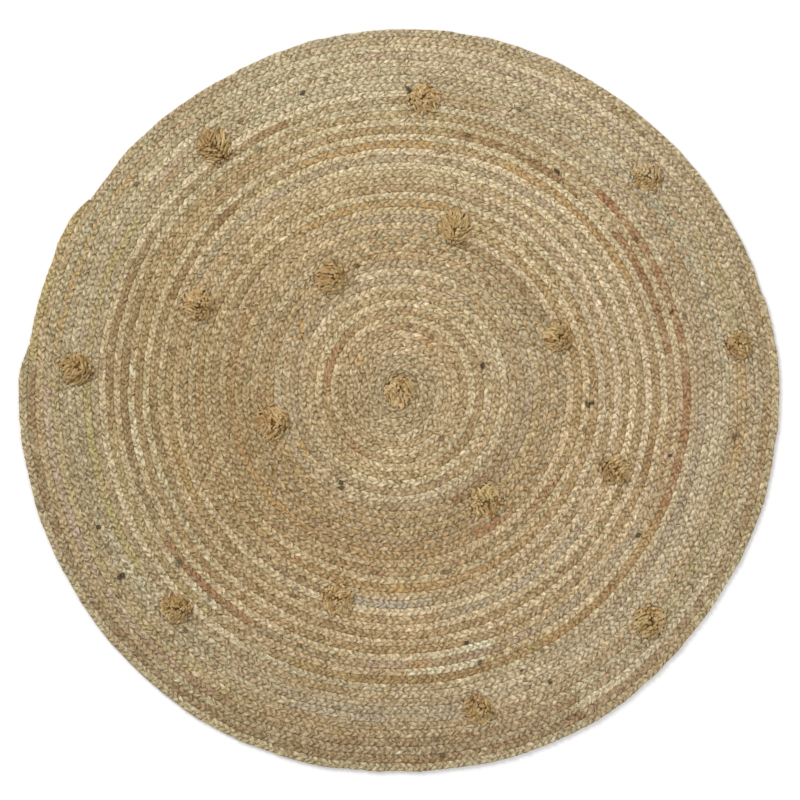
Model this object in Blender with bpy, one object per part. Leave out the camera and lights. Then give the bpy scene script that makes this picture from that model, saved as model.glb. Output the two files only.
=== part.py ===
"""A round jute rug: two flat three-strand braids coiled side by side into one flat disc, with seventeen jute pompoms.

Units are metres and +Z is up. The rug lies flat on Z = 0 and its outline is centred on the origin.
Run it with: blender --background --python part.py
"""

import random
from collections import namedtuple
from math import atan2, cos, exp, pi, radians, sin, sqrt

import bmesh
import bpy
from mathutils import Matrix, Vector

# ---- The braided field ----
THICKNESS = 0.0080  # from the floor to the crest of a row of braid
GROOVE_DEPTH = 0.0018  # how far the sewn groove between two rows lies below the crests
RIM_HEIGHT = 0.0042  # where the rounded rim is widest
RIM_UNDERCUT = 0.0022  # how far the rim draws in at the floor

# The outline without its last laps is an ellipse, a little off the coil's own centre.
HALF_WIDTH = 0.5935  # along X
HALF_DEPTH = 0.5885  # along Y
ELLIPSE_SHIFT = Vector((0.0066, -0.0194))  # from the coil's centre to the ellipse's centre
COIL_CENTRE = Vector((-0.0040, 0.0168))  # from the middle of the finished rug to the coil's centre
ELLIPSE_ROWS = 48  # rows of braid from the coil's centre to the ellipse

# Seen from above, the coil opens clockwise. Each braid ends in a tapered tail at the rim.
BRAIDS = 2  # braids side by side, so rows gained on each turn
TURNS = 24  # turns of the coil, counting the one that the tails cut short
START_ANGLE = radians(90.0)  # where the coil starts, at its centre
OUTER_TAIL_ANGLE = radians(171.0)  # where the outer braid's tail ends, on the last turn
INNER_TAIL_ANGLE = radians(146.0)  # where the inner braid's tail ends, a little further on
TAIL_TAPER = radians(7.0)  # the length of a tail's taper
STEPS_PER_TURN = 44
LINES_PER_ROW = 2  # a groove and a crest
WELD = 0.00002  # points closer than this are one point

# The coil was sewn a little off centre: its rows lie further out on one side.
DRIFT_ROWS = 0.8  # the most that a row is moved outward, in rows
DRIFT_ANGLE = radians(78.0)  # the side where it is
DRIFT_START = 12.0  # rows from the centre to where the drift is full

# Small unevenness of the rim, where the coil was sewn tighter or looser.
RimWave = namedtuple("RimWave", "angle height spread")
RIM_WAVES = [
    RimWave(radians(2), 0.0048, radians(8)),
    RimWave(radians(48), -0.0030, radians(12)),
    RimWave(radians(96), -0.0015, radians(14)),
    RimWave(radians(119), -0.0042, radians(7)),
    RimWave(radians(195), -0.0012, radians(9)),
    RimWave(radians(244), 0.0036, radians(11)),
    RimWave(radians(271), -0.0022, radians(7)),
    RimWave(radians(300), 0.0036, radians(8)),
    RimWave(radians(326), -0.0014, radians(6)),
    RimWave(radians(339), 0.0012, radians(5)),
]
RIM_WAVE_POWER = 6  # the waves fade inwards with this power of the radius

# ---- The pompoms ----
SEAT_GAP = 0.0003  # between a pompom and the crests that carry it
HEAD_RADIUS = 0.0095  # the tied middle of the bundle
HEAD_HEIGHT = 0.0125
HEAD_SIDES = 8
HEAD_RINGS = 4
LOCK_HEIGHT = 0.0036
LENGTH_SPREAD = 0.06  # how unevenly the locks are cut
TURN_SPREAD = radians(3.0)

# A tier is a ring of locks. Reach is a share of the pompom's radius, lift is the height of the
# lock's middle above its foot, and turn is in shares of the angle between two locks.
LockStep = namedtuple("LockStep", "reach lift width turn")
LOWER_TIER = [
    LockStep(0.62, 0.0034, 0.0080, 0.00),
    LockStep(1.00, 0.0020, 0.0092, 0.00),
]
UPPER_TIER = [
    LockStep(0.58, 0.0138, 0.0078, 0.38),
    LockStep(0.94, 0.0090, 0.0086, 0.50),
]

Pompom = namedtuple("Pompom", "x y diameter turn")
POMPOMS = [
    Pompom(0.041, 0.482, 0.056, radians(5)),
    Pompom(-0.298, 0.409, 0.060, radians(20)),
    Pompom(0.394, 0.359, 0.052, radians(33)),
    Pompom(0.089, 0.280, 0.058, radians(12)),
    Pompom(-0.111, 0.196, 0.054, radians(40)),
    Pompom(-0.321, 0.153, 0.056, radians(8)),
    Pompom(0.252, 0.102, 0.054, radians(25)),
    Pompom(0.545, 0.089, 0.050, radians(16)),
    Pompom(-0.516, 0.050, 0.058, radians(36)),
    Pompom(0.001, 0.012, 0.054, radians(0)),
    Pompom(-0.207, -0.036, 0.060, radians(28)),
    Pompom(0.348, -0.111, 0.054, radians(10)),
    Pompom(0.138, -0.161, 0.060, radians(42)),
    Pompom(-0.358, -0.332, 0.056, radians(18)),
    Pompom(-0.098, -0.319, 0.054, radians(31)),
    Pompom(0.401, -0.356, 0.060, radians(3)),
    Pompom(0.126, -0.495, 0.054, radians(22)),
]

COLLECTION = "round_jute_rug"


def clear_scene():
    """Removes everything from the scene."""
    for scene_object in list(bpy.data.objects):
        bpy.data.objects.remove(scene_object, do_unlink=True)


def plain_material(name, colour, roughness):
    """Returns a Principled material of one colour."""
    material = bpy.data.materials.new(name)
    material.use_nodes = True
    shader = material.node_tree.nodes["Principled BSDF"]
    shader.inputs["Base Color"].default_value = (*colour, 1.0)
    shader.inputs["Roughness"].default_value = roughness
    shader.inputs["Metallic"].default_value = 0.0
    material.diffuse_color = (*colour, 1.0)
    return material


def add_object(name, bm, material, collection):
    """Turns a bmesh into a named object of the rug."""
    mesh = bpy.data.meshes.new(name)
    bm.to_mesh(mesh)
    bm.free()
    mesh.materials.append(material)
    made = bpy.data.objects.new(name, mesh)
    collection.objects.link(made)
    return made


# ---- The coil ----
def ellipse_radius(angle):
    """Distance from the coil's centre to the ellipse, at an angle from +X."""
    along = Vector((cos(angle), sin(angle)))
    a = (along.x / HALF_WIDTH) ** 2 + (along.y / HALF_DEPTH) ** 2
    b = along.x * ELLIPSE_SHIFT.x / HALF_WIDTH**2 + along.y * ELLIPSE_SHIFT.y / HALF_DEPTH**2
    c = (ELLIPSE_SHIFT.x / HALF_WIDTH) ** 2 + (ELLIPSE_SHIFT.y / HALF_DEPTH) ** 2 - 1.0
    return (b + sqrt(b * b - a * c)) / a


def rim_wave(angle):
    """How far the rim stands out of its even form at an angle."""
    total = 0.0
    for wave in RIM_WAVES:
        off = (angle - wave.angle + pi) % (2 * pi) - pi
        total += wave.height * exp(-0.5 * (off / wave.spread) ** 2)
    return total


def drifted(rows, angle):
    """Where a row lies, in rows from the coil's centre, once the coil's drift to one side is added."""
    share = min(rows / DRIFT_START, 1.0)
    return rows + DRIFT_ROWS * cos(angle - DRIFT_ANGLE) * share * share * (3.0 - 2.0 * share)


def coil_point(rows, angle):
    """The point that lies a number of rows of braid out along the coil, seen from above."""
    share = drifted(rows, angle) / ELLIPSE_ROWS
    radius = share * ellipse_radius(angle) + share**RIM_WAVE_POWER * rim_wave(angle)
    return COIL_CENTRE + radius * Vector((cos(angle), sin(angle)))


def smooth_fall(value, end, length):
    """1 well before the end, 0 after it, with a smooth fall over the length before it."""
    share = min(max((end - value) / length, 0.0), 1.0)
    return share * share * (3.0 - 2.0 * share)


def band_rows(travel):
    """How many rows wide the band of braids is, after travelling this angle round the coil."""
    inner_end, outer_end = (
        (TURNS - 1) * 2 * pi + (START_ANGLE - tail) % (2 * pi) for tail in (INNER_TAIL_ANGLE, OUTER_TAIL_ANGLE)
    )
    return smooth_fall(travel, inner_end, TAIL_TAPER) + smooth_fall(travel, outer_end, TAIL_TAPER)


def band_height(travel, line):
    """Height of one line of the band: grooves are low, crests are high, and the ends are pressed down."""
    crest = 1.0 if line % LINES_PER_ROW else 0.0
    first = min(travel / TAIL_TAPER, 1.0)
    row = line // LINES_PER_ROW
    fade = min(max(band_rows(travel) - row, 0.0), 1.0)
    return THICKNESS - GROOVE_DEPTH * (1.0 - crest * first * fade)


def make_field(material, collection):
    """The rug's one flat piece: a strip two rows wide, wound into a coil, welded turn to turn and closed below."""
    lines = BRAIDS * LINES_PER_ROW
    steps = TURNS * STEPS_PER_TURN
    bm = bmesh.new()
    bmesh.ops.create_grid(bm, x_segments=steps, y_segments=lines, size=0.5)
    for vertex in bm.verts:
        step = round((vertex.co.x + 0.5) * steps)
        line = round((vertex.co.y + 0.5) * lines)
        travel = step * 2 * pi / STEPS_PER_TURN
        across = min(line / LINES_PER_ROW, band_rows(travel))
        # Travel runs clockwise from the coil's start.
        place = coil_point(BRAIDS * travel / (2 * pi) + across, START_ANGLE - travel)
        vertex.co = (*place, band_height(travel, line))
    bmesh.ops.remove_doubles(bm, verts=bm.verts, dist=WELD)
    bmesh.ops.dissolve_degenerate(bm, edges=bm.edges, dist=WELD)
    close_middle(bm)
    close_below(bm)
    bmesh.ops.recalc_face_normals(bm, faces=bm.faces)
    centre_outline(bm)
    return add_object("braided_field", bm, material, collection)


def from_centre(edge):
    """How far an edge lies from the coil's centre, seen from above."""
    middle = (edge.verts[0].co + edge.verts[1].co) / 2
    return (middle.xy - COIL_CENTRE).length


def open_edges(bm, inside):
    """The open edges of the coil: those round its centre, or those of its rim."""
    halfway = HALF_DEPTH / 2
    return [edge for edge in bm.edges if edge.is_boundary and (from_centre(edge) < halfway) == inside]


def close_middle(bm):
    """Fills the small gap that the coil's first turn leaves round its centre."""
    bmesh.ops.contextual_create(bm, geom=open_edges(bm, inside=True))


def close_below(bm):
    """Rounds the rim down to the floor and closes the flat underside."""
    rim = open_edges(bm, inside=False)
    crown = {vertex for edge in rim for vertex in edge.verts}
    skirt = bmesh.ops.extrude_edge_only(bm, edges=rim)["geom"]
    for vertex in crown:
        vertex.co.z = RIM_HEIGHT
    for vertex in (item for item in skirt if isinstance(item, bmesh.types.BMVert)):
        out = vertex.co.xy - COIL_CENTRE
        inset = out * (1.0 - RIM_UNDERCUT / out.length) + COIL_CENTRE
        vertex.co = (*inset, 0.0)
    floor_edges = [item for item in skirt if isinstance(item, bmesh.types.BMEdge) and item.is_boundary]
    bmesh.ops.contextual_create(bm, geom=floor_edges)


def centre_outline(bm):
    """Moves the rug so that the middle of its outline is at the origin."""
    xs = [vertex.co.x for vertex in bm.verts]
    ys = [vertex.co.y for vertex in bm.verts]
    middle = Vector(((min(xs) + max(xs)) / 2, (min(ys) + max(ys)) / 2, 0.0))
    bmesh.ops.translate(bm, verts=bm.verts, vec=-middle)


# ---- The pompoms ----
def make_head(bm):
    """Adds the tied middle of a pompom and returns its side faces, as a lower and an upper ring."""
    bmesh.ops.create_uvsphere(bm, u_segments=HEAD_SIDES, v_segments=HEAD_RINGS, radius=HEAD_RADIUS)
    bmesh.ops.scale(bm, verts=bm.verts, vec=(1.0, 1.0, HEAD_HEIGHT / (2 * HEAD_RADIUS)))
    bmesh.ops.translate(bm, verts=bm.verts, vec=(0.0, 0.0, HEAD_HEIGHT / 2))
    bm.faces.ensure_lookup_table()
    sides = [face for face in bm.faces if len(face.verts) == 4]
    lower = [face for face in sides if face.calc_center_median().z < HEAD_HEIGHT / 2]
    upper = [face for face in sides if face.calc_center_median().z > HEAD_HEIGHT / 2]
    return lower, upper


def grow_lock(bm, face, tier, radius, chance):
    """Draws one four-sided lock of yarn out of a side face of the head."""
    middle = face.calc_center_median()
    root_angle = atan2(middle.y, middle.x)
    length = radius * (1.0 + chance.uniform(-LENGTH_SPREAD, LENGTH_SPREAD))
    sway = chance.uniform(-TURN_SPREAD, TURN_SPREAD)
    last_angle = root_angle
    for step in tier:
        face = bmesh.ops.extrude_discrete_faces(bm, faces=[face])["faces"][0]
        # The face's own corners say which is left or right, and top or bottom.
        last_side = Vector((-sin(last_angle), cos(last_angle), 0.0))
        angle = root_angle + step.turn * 2 * pi / HEAD_SIDES + sway
        side = Vector((-sin(angle), cos(angle), 0.0))
        tip = Vector((cos(angle), sin(angle), 0.0)) * (length * step.reach)
        tip.z = step.lift
        for vertex in face.verts:
            left = 0.5 if (vertex.co - middle).dot(last_side) > 0 else -0.5
            top = 0.5 if vertex.co.z > middle.z else -0.5
            vertex.co = tip + side * (left * step.width) + Vector((0.0, 0.0, top * LOCK_HEIGHT))
        middle = tip
        last_angle = angle


def make_pompom(name, pompom, chance, material, collection):
    """One pompom: a tied head with two tiers of splayed locks, seated on the crests of the rug."""
    bm = bmesh.new()
    lower, upper = make_head(bm)
    for face in lower:
        grow_lock(bm, face, LOWER_TIER, pompom.diameter / 2, chance)
    for face in upper:
        grow_lock(bm, face, UPPER_TIER, pompom.diameter / 2, chance)
    bmesh.ops.rotate(bm, verts=bm.verts, cent=(0, 0, 0), matrix=Matrix.Rotation(pompom.turn, 3, "Z"))
    lowest = min(vertex.co.z for vertex in bm.verts)
    made = add_object(name, bm, material, collection)
    made.location = (pompom.x, pompom.y, THICKNESS + SEAT_GAP - lowest)
    return made


def main():
    """Builds the rug and its pompoms."""
    clear_scene()
    collection = bpy.data.collections.new(COLLECTION)
    bpy.context.scene.collection.children.link(collection)
    jute = plain_material("jute_braid", (0.413, 0.305, 0.175), 0.85)
    yarn = plain_material("jute_yarn", (0.323, 0.216, 0.095), 0.9)
    make_field(jute, collection)
    for number, pompom in enumerate(POMPOMS, start=1):
        make_pompom(f"pompom_{number:02d}", pompom, random.Random(number), yarn, collection)


main()
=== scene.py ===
"""The looks of a round jute rug: two three-strand braids coiled side by side, with splayed pompoms.

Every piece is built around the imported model, in metres, with +Z up and the rug lying on Z = 0.
"""

import logging
from dataclasses import dataclass, field
from enum import Enum

import bpy
import numpy as np
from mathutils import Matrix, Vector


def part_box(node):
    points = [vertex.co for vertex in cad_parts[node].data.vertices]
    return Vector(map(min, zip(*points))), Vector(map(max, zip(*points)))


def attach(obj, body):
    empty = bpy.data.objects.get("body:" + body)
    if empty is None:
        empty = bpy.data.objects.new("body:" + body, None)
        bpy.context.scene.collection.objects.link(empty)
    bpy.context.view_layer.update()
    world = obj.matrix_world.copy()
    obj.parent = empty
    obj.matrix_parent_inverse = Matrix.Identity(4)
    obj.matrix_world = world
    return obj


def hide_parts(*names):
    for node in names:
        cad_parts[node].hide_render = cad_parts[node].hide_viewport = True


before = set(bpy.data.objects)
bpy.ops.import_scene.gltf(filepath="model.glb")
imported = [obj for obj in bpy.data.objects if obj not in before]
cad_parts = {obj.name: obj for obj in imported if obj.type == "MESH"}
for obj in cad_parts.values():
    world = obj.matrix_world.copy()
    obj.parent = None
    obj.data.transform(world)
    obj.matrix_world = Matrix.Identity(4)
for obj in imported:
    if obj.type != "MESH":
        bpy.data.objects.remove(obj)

LOG = logging.getLogger("round_jute_rug")
BODY = "root"
FIELD_NODE = "braided_field"
MAP_FOR_BAKE = "OFBake"
FULL_TURN = 2 * np.pi
MM_IN_M = 1000
TINY = 1e-9  # keeps a length that is divided by from being nothing
SEED = 20
STRANDS = 3  # in a braid
WARM = (1.0, -0.2, -1.4)  # how red, green and blue change where the jute is warmer


# ---- Shades of the jute ----
class Shade(Enum):
    """The natural and stained shades of the jute, as red, green and blue on a screen."""

    SAND = (176, 155, 118)
    CREAM = (213, 195, 161)
    TAN = (164, 138, 101)
    GOLD = (182, 146, 92)
    RUST = (156, 115, 80)
    BROWN = (134, 102, 66)
    GREY = (173, 159, 135)
    ASH = (186, 171, 142)
    MAUVE = (172, 149, 128)
    OLIVE = (168, 153, 104)
    PALE = (205, 198, 167)
    FLECK = (36, 18, 4)
    YARN = (174, 147, 101)


SAND, CREAM, TAN, GOLD, RUST, BROWN, GREY, ASH, MAUVE, OLIVE, PALE, FLECK, YARN = Shade


def screen(shade: Shade) -> np.ndarray:
    """A shade as three screen values from 0 to 255."""
    return np.array(shade.value, float)


def linear(colour: np.ndarray) -> np.ndarray:
    """Turns screen colours from 0 to 255 into the linear colours that a shader takes.

    Args:
        colour: screen values, with red, green and blue along the last axis.

    Returns:
        The same colours, linear, from 0 to 1.
    """
    share = np.clip(colour / 255.0, 0.0, 1.0)
    # The usual curve of a screen: straight near black, a power above it.
    return np.where(share <= 0.04045, share / 12.92, ((share + 0.055) / 1.055) ** 2.4)


# ---- Numbers that vary ----
class Draw(Enum):
    """What random numbers are drawn for, with the first seed of each counted from SEED."""

    WANDER = 0
    LOBES = 10
    STRANDS = 40
    PATCHES = 50
    RUNS = 60
    FLECKS = 70
    POMPOMS = 100


def chance_for(draw: Draw, number: int) -> np.random.Generator:
    """The source of the random numbers for one braid, one pompom or one layer of noise."""
    return np.random.default_rng(SEED + draw.value + number)


def smooth(share: np.ndarray) -> np.ndarray:
    """A smooth step from 0 to 1 while share goes from 0 to 1."""
    share = np.clip(share, 0.0, 1.0)
    return share * share * (3.0 - 2.0 * share)


def from_angle(angle: np.ndarray, other: float) -> np.ndarray:
    """How far angles lie from another one, in degrees, from -180 to 180."""
    return (angle - other + 180.0) % 360.0 - 180.0


def slow_series(count: int, spacing: float, chance: np.random.Generator) -> np.ndarray:
    """Random values that drift along a strand.

    Args:
        count: how many values.
        spacing: how many values lie between two that are independent.
        chance: the source of the random numbers.

    Returns:
        The values, with a spread of about 1.
    """
    knot_spread = 1.2  # values between two knots spread less than the knots do
    knots = chance.normal(0.0, knot_spread, int(count / spacing) + 3)
    return np.interp(np.arange(count) / spacing, np.arange(len(knots)), knots)


def plane_noise(x: np.ndarray, y: np.ndarray, size: float, chance: np.random.Generator) -> np.ndarray:
    """Smooth noise over the rug's plane.

    Args:
        x: places along X.
        y: places along Y.
        size: the distance between two independent values.
        chance: the source of the random numbers.

    Returns:
        The noise at each place, from -1 to 1.
    """
    cells = 128
    values = chance.uniform(-1.0, 1.0, (cells, cells))
    u, v = x / size + cells / 2, y / size + cells / 2
    left, low = np.floor(u).astype(int), np.floor(v).astype(int)
    right_share, high_share = smooth(u - left), smooth(v - low)
    left, low = left % cells, low % cells
    right, high = (left + 1) % cells, (low + 1) % cells
    lower = values[left, low] * (1 - right_share) + values[right, low] * right_share
    upper = values[left, high] * (1 - right_share) + values[right, high] * right_share
    return lower * (1 - high_share) + upper * high_share


# ---- The coil ----
@dataclass(frozen=True)
class RimWave:
    """One soft wave of the rim, where the coil was sewn tighter or looser. Angles are in degrees."""

    angle: float
    height: float
    spread: float


@dataclass(frozen=True)
class SewnShift:
    """A place where the rows were sewn nearer to the middle or further out. The angles are in degrees."""

    row: float
    angle: float
    rows_out: float
    row_spread: float
    angle_spread: float


@dataclass(frozen=True)
class Coil:
    """The coil that the braids follow. Places are counted in rows of braid from its centre."""

    centre: tuple[float, float] = (-0.0040, 0.0168)
    half_width: float = 0.5935
    half_depth: float = 0.5885
    ellipse_shift: tuple[float, float] = (0.0066, -0.0194)
    ellipse_rows: float = 48.0
    braids: int = 2
    turns: int = 24
    start_angle: float = 90.0
    tail_angles: tuple[float, float] = (146.0, 171.0)
    tail_taper: float = 7.0
    drift_rows: float = 0.8
    drift_angle: float = 78.0
    drift_start: float = 12.0
    tight_rows: float = 0.45
    tight_span: tuple[float, float, float] = (4.0, 8.0, 20.0)
    wander_heights: tuple[float, float] = (0.0013, 0.0006)
    wander_sizes: tuple[float, float] = (0.036, 0.014)
    wander_start: float = 3.0
    sewn_shifts: tuple[SewnShift, ...] = (
        SewnShift(8.5, 148, -0.60, 4.5, 34), SewnShift(9.5, 276, 0.45, 4.5, 36),
        SewnShift(17, 25, -0.20, 3, 36), SewnShift(20, 156, -0.33, 3, 24),
        SewnShift(27, 22, 0.24, 5, 36), SewnShift(28, 278, 0.30, 6, 20),
        SewnShift(41, 190, -0.42, 5, 18), SewnShift(41, 268, -0.24, 5, 26),
        SewnShift(41, 90, -0.18, 3, 40), SewnShift(41, 330, -0.16, 4, 24),
    )
    rim_hold: tuple[float, float] = (44.0, 49.0)  # the shifts die away between these rows
    outline_points: int = 721
    rim_wave_power: int = 6
    rim_waves: tuple[RimWave, ...] = (
        RimWave(2, 0.0048, 8), RimWave(48, -0.0030, 12), RimWave(96, -0.0015, 14),
        RimWave(119, -0.0042, 7), RimWave(195, -0.0012, 9), RimWave(244, 0.0036, 11),
        RimWave(271, -0.0022, 7), RimWave(300, 0.0036, 8), RimWave(326, -0.0014, 6),
        RimWave(339, 0.0012, 5),
    )

    def ellipse_radius(self, angle: np.ndarray) -> np.ndarray:
        """Distance from the coil's centre to its ellipse.

        Args:
            angle: angles in radians.

        Returns:
            The distances, in metres.
        """
        x, y = np.cos(angle), np.sin(angle)
        shift_x, shift_y = self.ellipse_shift
        a = (x / self.half_width) ** 2 + (y / self.half_depth) ** 2
        b = x * shift_x / self.half_width**2 + y * shift_y / self.half_depth**2
        c = (shift_x / self.half_width) ** 2 + (shift_y / self.half_depth) ** 2 - 1.0
        return (b + np.sqrt(b * b - a * c)) / a

    def rim_height(self, angle: np.ndarray) -> np.ndarray:
        """How far the rim stands out of its even form.

        Args:
            angle: angles in radians.

        Returns:
            The heights of the rim's waves there, in metres.
        """
        total = np.zeros_like(angle)
        for wave in self.rim_waves:
            off = from_angle(np.degrees(angle), wave.angle)
            total += wave.height * np.exp(-0.5 * (off / wave.spread) ** 2)
        return total

    def shifted(self, rows: np.ndarray, angle: np.ndarray) -> np.ndarray:
        """How far a row is moved outward, as the coil was sewn off centre and tighter in its first turns.

        Args:
            rows: rows from the centre along an even coil.
            angle: the place's angle in radians.

        Returns:
            The shift, in rows.
        """
        start, end, open_at = self.tight_span
        side = self.drift_rows * np.cos(angle - np.radians(self.drift_angle))
        side = side * smooth(rows / self.drift_start)
        tight = self.tight_rows * smooth(rows / start) * (1.0 - smooth((rows - end) / (open_at - end)))
        shift = np.zeros_like(rows)
        for sewn in self.sewn_shifts:
            off = from_angle(np.degrees(angle), sewn.angle)
            near = ((rows - sewn.row) / sewn.row_spread) ** 2 + (off / sewn.angle_spread) ** 2
            shift += sewn.rows_out * np.exp(-0.5 * near)
        held = 1.0 - smooth((rows - self.rim_hold[0]) / (self.rim_hold[1] - self.rim_hold[0]))
        return side - tight + shift * held

    def polar(self, rows: np.ndarray, angle: np.ndarray) -> tuple[np.ndarray, np.ndarray]:
        """The place of a point of the coil, without the rows' own wander.

        Args:
            rows: rows from the centre along an even coil.
            angle: angles in radians.

        Returns:
            The places along X and along Y.
        """
        share = (rows + self.shifted(rows, angle)) / self.ellipse_rows
        rim = np.maximum(share, 0.0) ** self.rim_wave_power * self.rim_height(angle)
        radius = share * self.ellipse_radius(angle) + rim
        return self.centre[0] + radius * np.cos(angle), self.centre[1] + radius * np.sin(angle)

    def place(self, rows: np.ndarray, angle: np.ndarray) -> tuple[np.ndarray, np.ndarray]:
        """The place of a point of the coil, with the small wander of hand-sewn rows.

        Args:
            rows: rows from the centre along an even coil.
            angle: angles in radians.

        Returns:
            The places along X and along Y, with the middle of the outline at the origin.
        """
        x, y = self.polar(rows, angle)
        wander = np.zeros_like(x)
        for number, (height, size) in enumerate(zip(self.wander_heights, self.wander_sizes)):
            wander += height * plane_noise(x, y, size, chance_for(Draw.WANDER, number))
        wander *= smooth(rows / self.wander_start)
        middle_x, middle_y = self.middle()
        return x + wander * np.cos(angle) - middle_x, y + wander * np.sin(angle) - middle_y

    def middle(self) -> tuple[float, float]:
        """The middle of the rim's box, from the last turn of each braid's outer edge.

        Returns:
            Its place along X and along Y, from the point that the coil is laid out from.
        """
        low, high = np.full(2, np.inf), np.full(2, -np.inf)
        for braid in range(self.braids):
            travel = np.linspace(self.end(braid) - FULL_TURN, self.end(braid), self.outline_points)
            rows, angle = self.across(braid, travel, self.width(braid, travel))
            outline = np.stack(self.polar(rows, angle), 1)
            low, high = np.minimum(low, outline.min(0)), np.maximum(high, outline.max(0))
        return tuple((low + high) / 2)

    def end(self, braid: int) -> float:
        """How far round the coil a braid's tail ends, in radians from the coil's start."""
        last_turn = np.radians((self.start_angle - self.tail_angles[braid]) % 360.0)
        return (self.turns - 1) * FULL_TURN + last_turn

    def width(self, braid: int, travel: np.ndarray) -> np.ndarray:
        """A braid's width as a share of a row: 1, falling smoothly to 0 at its tail."""
        return smooth((self.end(braid) - travel) / np.radians(self.tail_taper))

    def across(self, braid: int, travel: np.ndarray, share: np.ndarray) -> tuple[np.ndarray, np.ndarray]:
        """Rows and angle of a point of a braid.

        Args:
            braid: 0 for the inner braid, 1 for the outer.
            travel: how far round the coil it is, clockwise from the start, in radians.
            share: how far across the row, from 0 at its inner edge to 1.

        Returns:
            Rows from the centre along an even coil, and the angle in radians.
        """
        rows = self.braids * travel / FULL_TURN + braid + share
        return rows, np.radians(self.start_angle) - travel

    def travel_of(self, lap: int, angle: float) -> float:
        """The travel, in degrees, of the place on a lap of braid at an angle in degrees."""
        return self.start_angle - angle + 360.0 * (lap - lap % self.braids) / self.braids


# ---- Colour runs, as they lie on the rug ----
@dataclass(frozen=True)
class Zone:
    """How the two braids are shaded from one row outward, and how strongly each shade shows."""

    row: float
    outer_shade: Shade
    outer_share: float
    inner_shade: Shade
    inner_share: float
    tone: float


@dataclass(frozen=True)
class ToneDrift:
    """A broad part of the rug that came out lighter, warmer or greener. The angles are in degrees."""

    row: float
    angle: float
    row_spread: float
    angle_spread: float
    tone: float = 0.0
    warm: float = 0.0
    green: float = 0.0


@dataclass(frozen=True)
class Run:
    """A stretch of a lap of braid in a shade of its own, between two angles in degrees."""

    start: float
    end: float
    shade: Shade
    share: float
    strands: int = 3


@dataclass(frozen=True)
class Fleck:
    """A dark stain: where it lies from the rug's middle, how many lobes it marks and how strongly."""

    x: float
    y: float
    lobes: int = 1
    share: float = 0.85


ZONES = (
    Zone(0, GREY, 0.20, GREY, 0.45, -7),
    Zone(4, CREAM, 0.08, TAN, 0.25, -2),
    Zone(6, CREAM, 0.22, TAN, 0.28, 0),
    Zone(9, CREAM, 0.38, TAN, 0.40, -1),
    Zone(12, CREAM, 0.38, TAN, 0.25, -2),
    Zone(14, CREAM, 0.40, TAN, 0.30, -2),
    Zone(16, GREY, 0.25, TAN, 0.15, -4),
    Zone(20, TAN, 0.10, TAN, 0.40, 0),
    Zone(22, CREAM, 0.25, TAN, 0.55, -1),
    Zone(24, CREAM, 0.28, TAN, 0.48, -1),
    Zone(27, CREAM, 0.42, TAN, 0.32, -3),
    Zone(30, CREAM, 0.52, TAN, 0.32, -2),
    Zone(33, CREAM, 0.52, TAN, 0.42, -2),
    Zone(35, CREAM, 0.42, TAN, 0.42, -2),
    Zone(37, CREAM, 0.42, TAN, 0.32, -1),
    Zone(40, ASH, 0.55, GREY, 0.38, 2),
    Zone(43, ASH, 0.60, GREY, 0.28, 2),
    Zone(46, ASH, 0.45, GREY, 0.25, 2),
    Zone(50, OLIVE, 0.20, TAN, 0.40, -4),
)
TONE_DRIFTS = (
    ToneDrift(30, 190, 13, 42, tone=-10),
    ToneDrift(9, 208, 5, 28, tone=-8),
    ToneDrift(33, 50, 14, 40, tone=6),
    ToneDrift(44, 265, 4, 20, tone=-3),
    ToneDrift(42, 25, 3, 30, tone=-5),
    ToneDrift(42, 198, 3, 45, tone=-4),
    ToneDrift(15, 305, 3, 25, tone=-5),
    ToneDrift(21, 170, 3, 30, tone=-4),
    ToneDrift(9, 280, 3, 60, green=0.8),
    ToneDrift(9, 180, 3, 400, warm=1.4),
    ToneDrift(21, 230, 3.5, 65, tone=-2, warm=1.8),
    ToneDrift(27, 215, 3, 65, warm=1.5),
    ToneDrift(28, 150, 8, 90, green=0.6),
    ToneDrift(33, 285, 3, 35, warm=1.6),
    ToneDrift(33, 0, 4, 35, green=-0.9),
    ToneDrift(38, 265, 2, 35, warm=-1.7),
    ToneDrift(41, 105, 6, 50, green=1.2),
    ToneDrift(42, 180, 2.5, 400, warm=1.0),
    ToneDrift(47, 150, 3, 38, warm=-2.8),
    ToneDrift(47, 220, 3, 50, green=1.4),
    ToneDrift(47, 300, 3, 45, warm=-1.5),
)
FADED_ROWS = (17.0, 29.0)  # between these rows, both braids are nearly alike on one side of the rug
FADED_ANGLES = (150.0, 235.0)
FADED_SHARE = 0.35
FADE_EDGES = (3.0, 15.0)  # rows and degrees from alike to unlike

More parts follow.
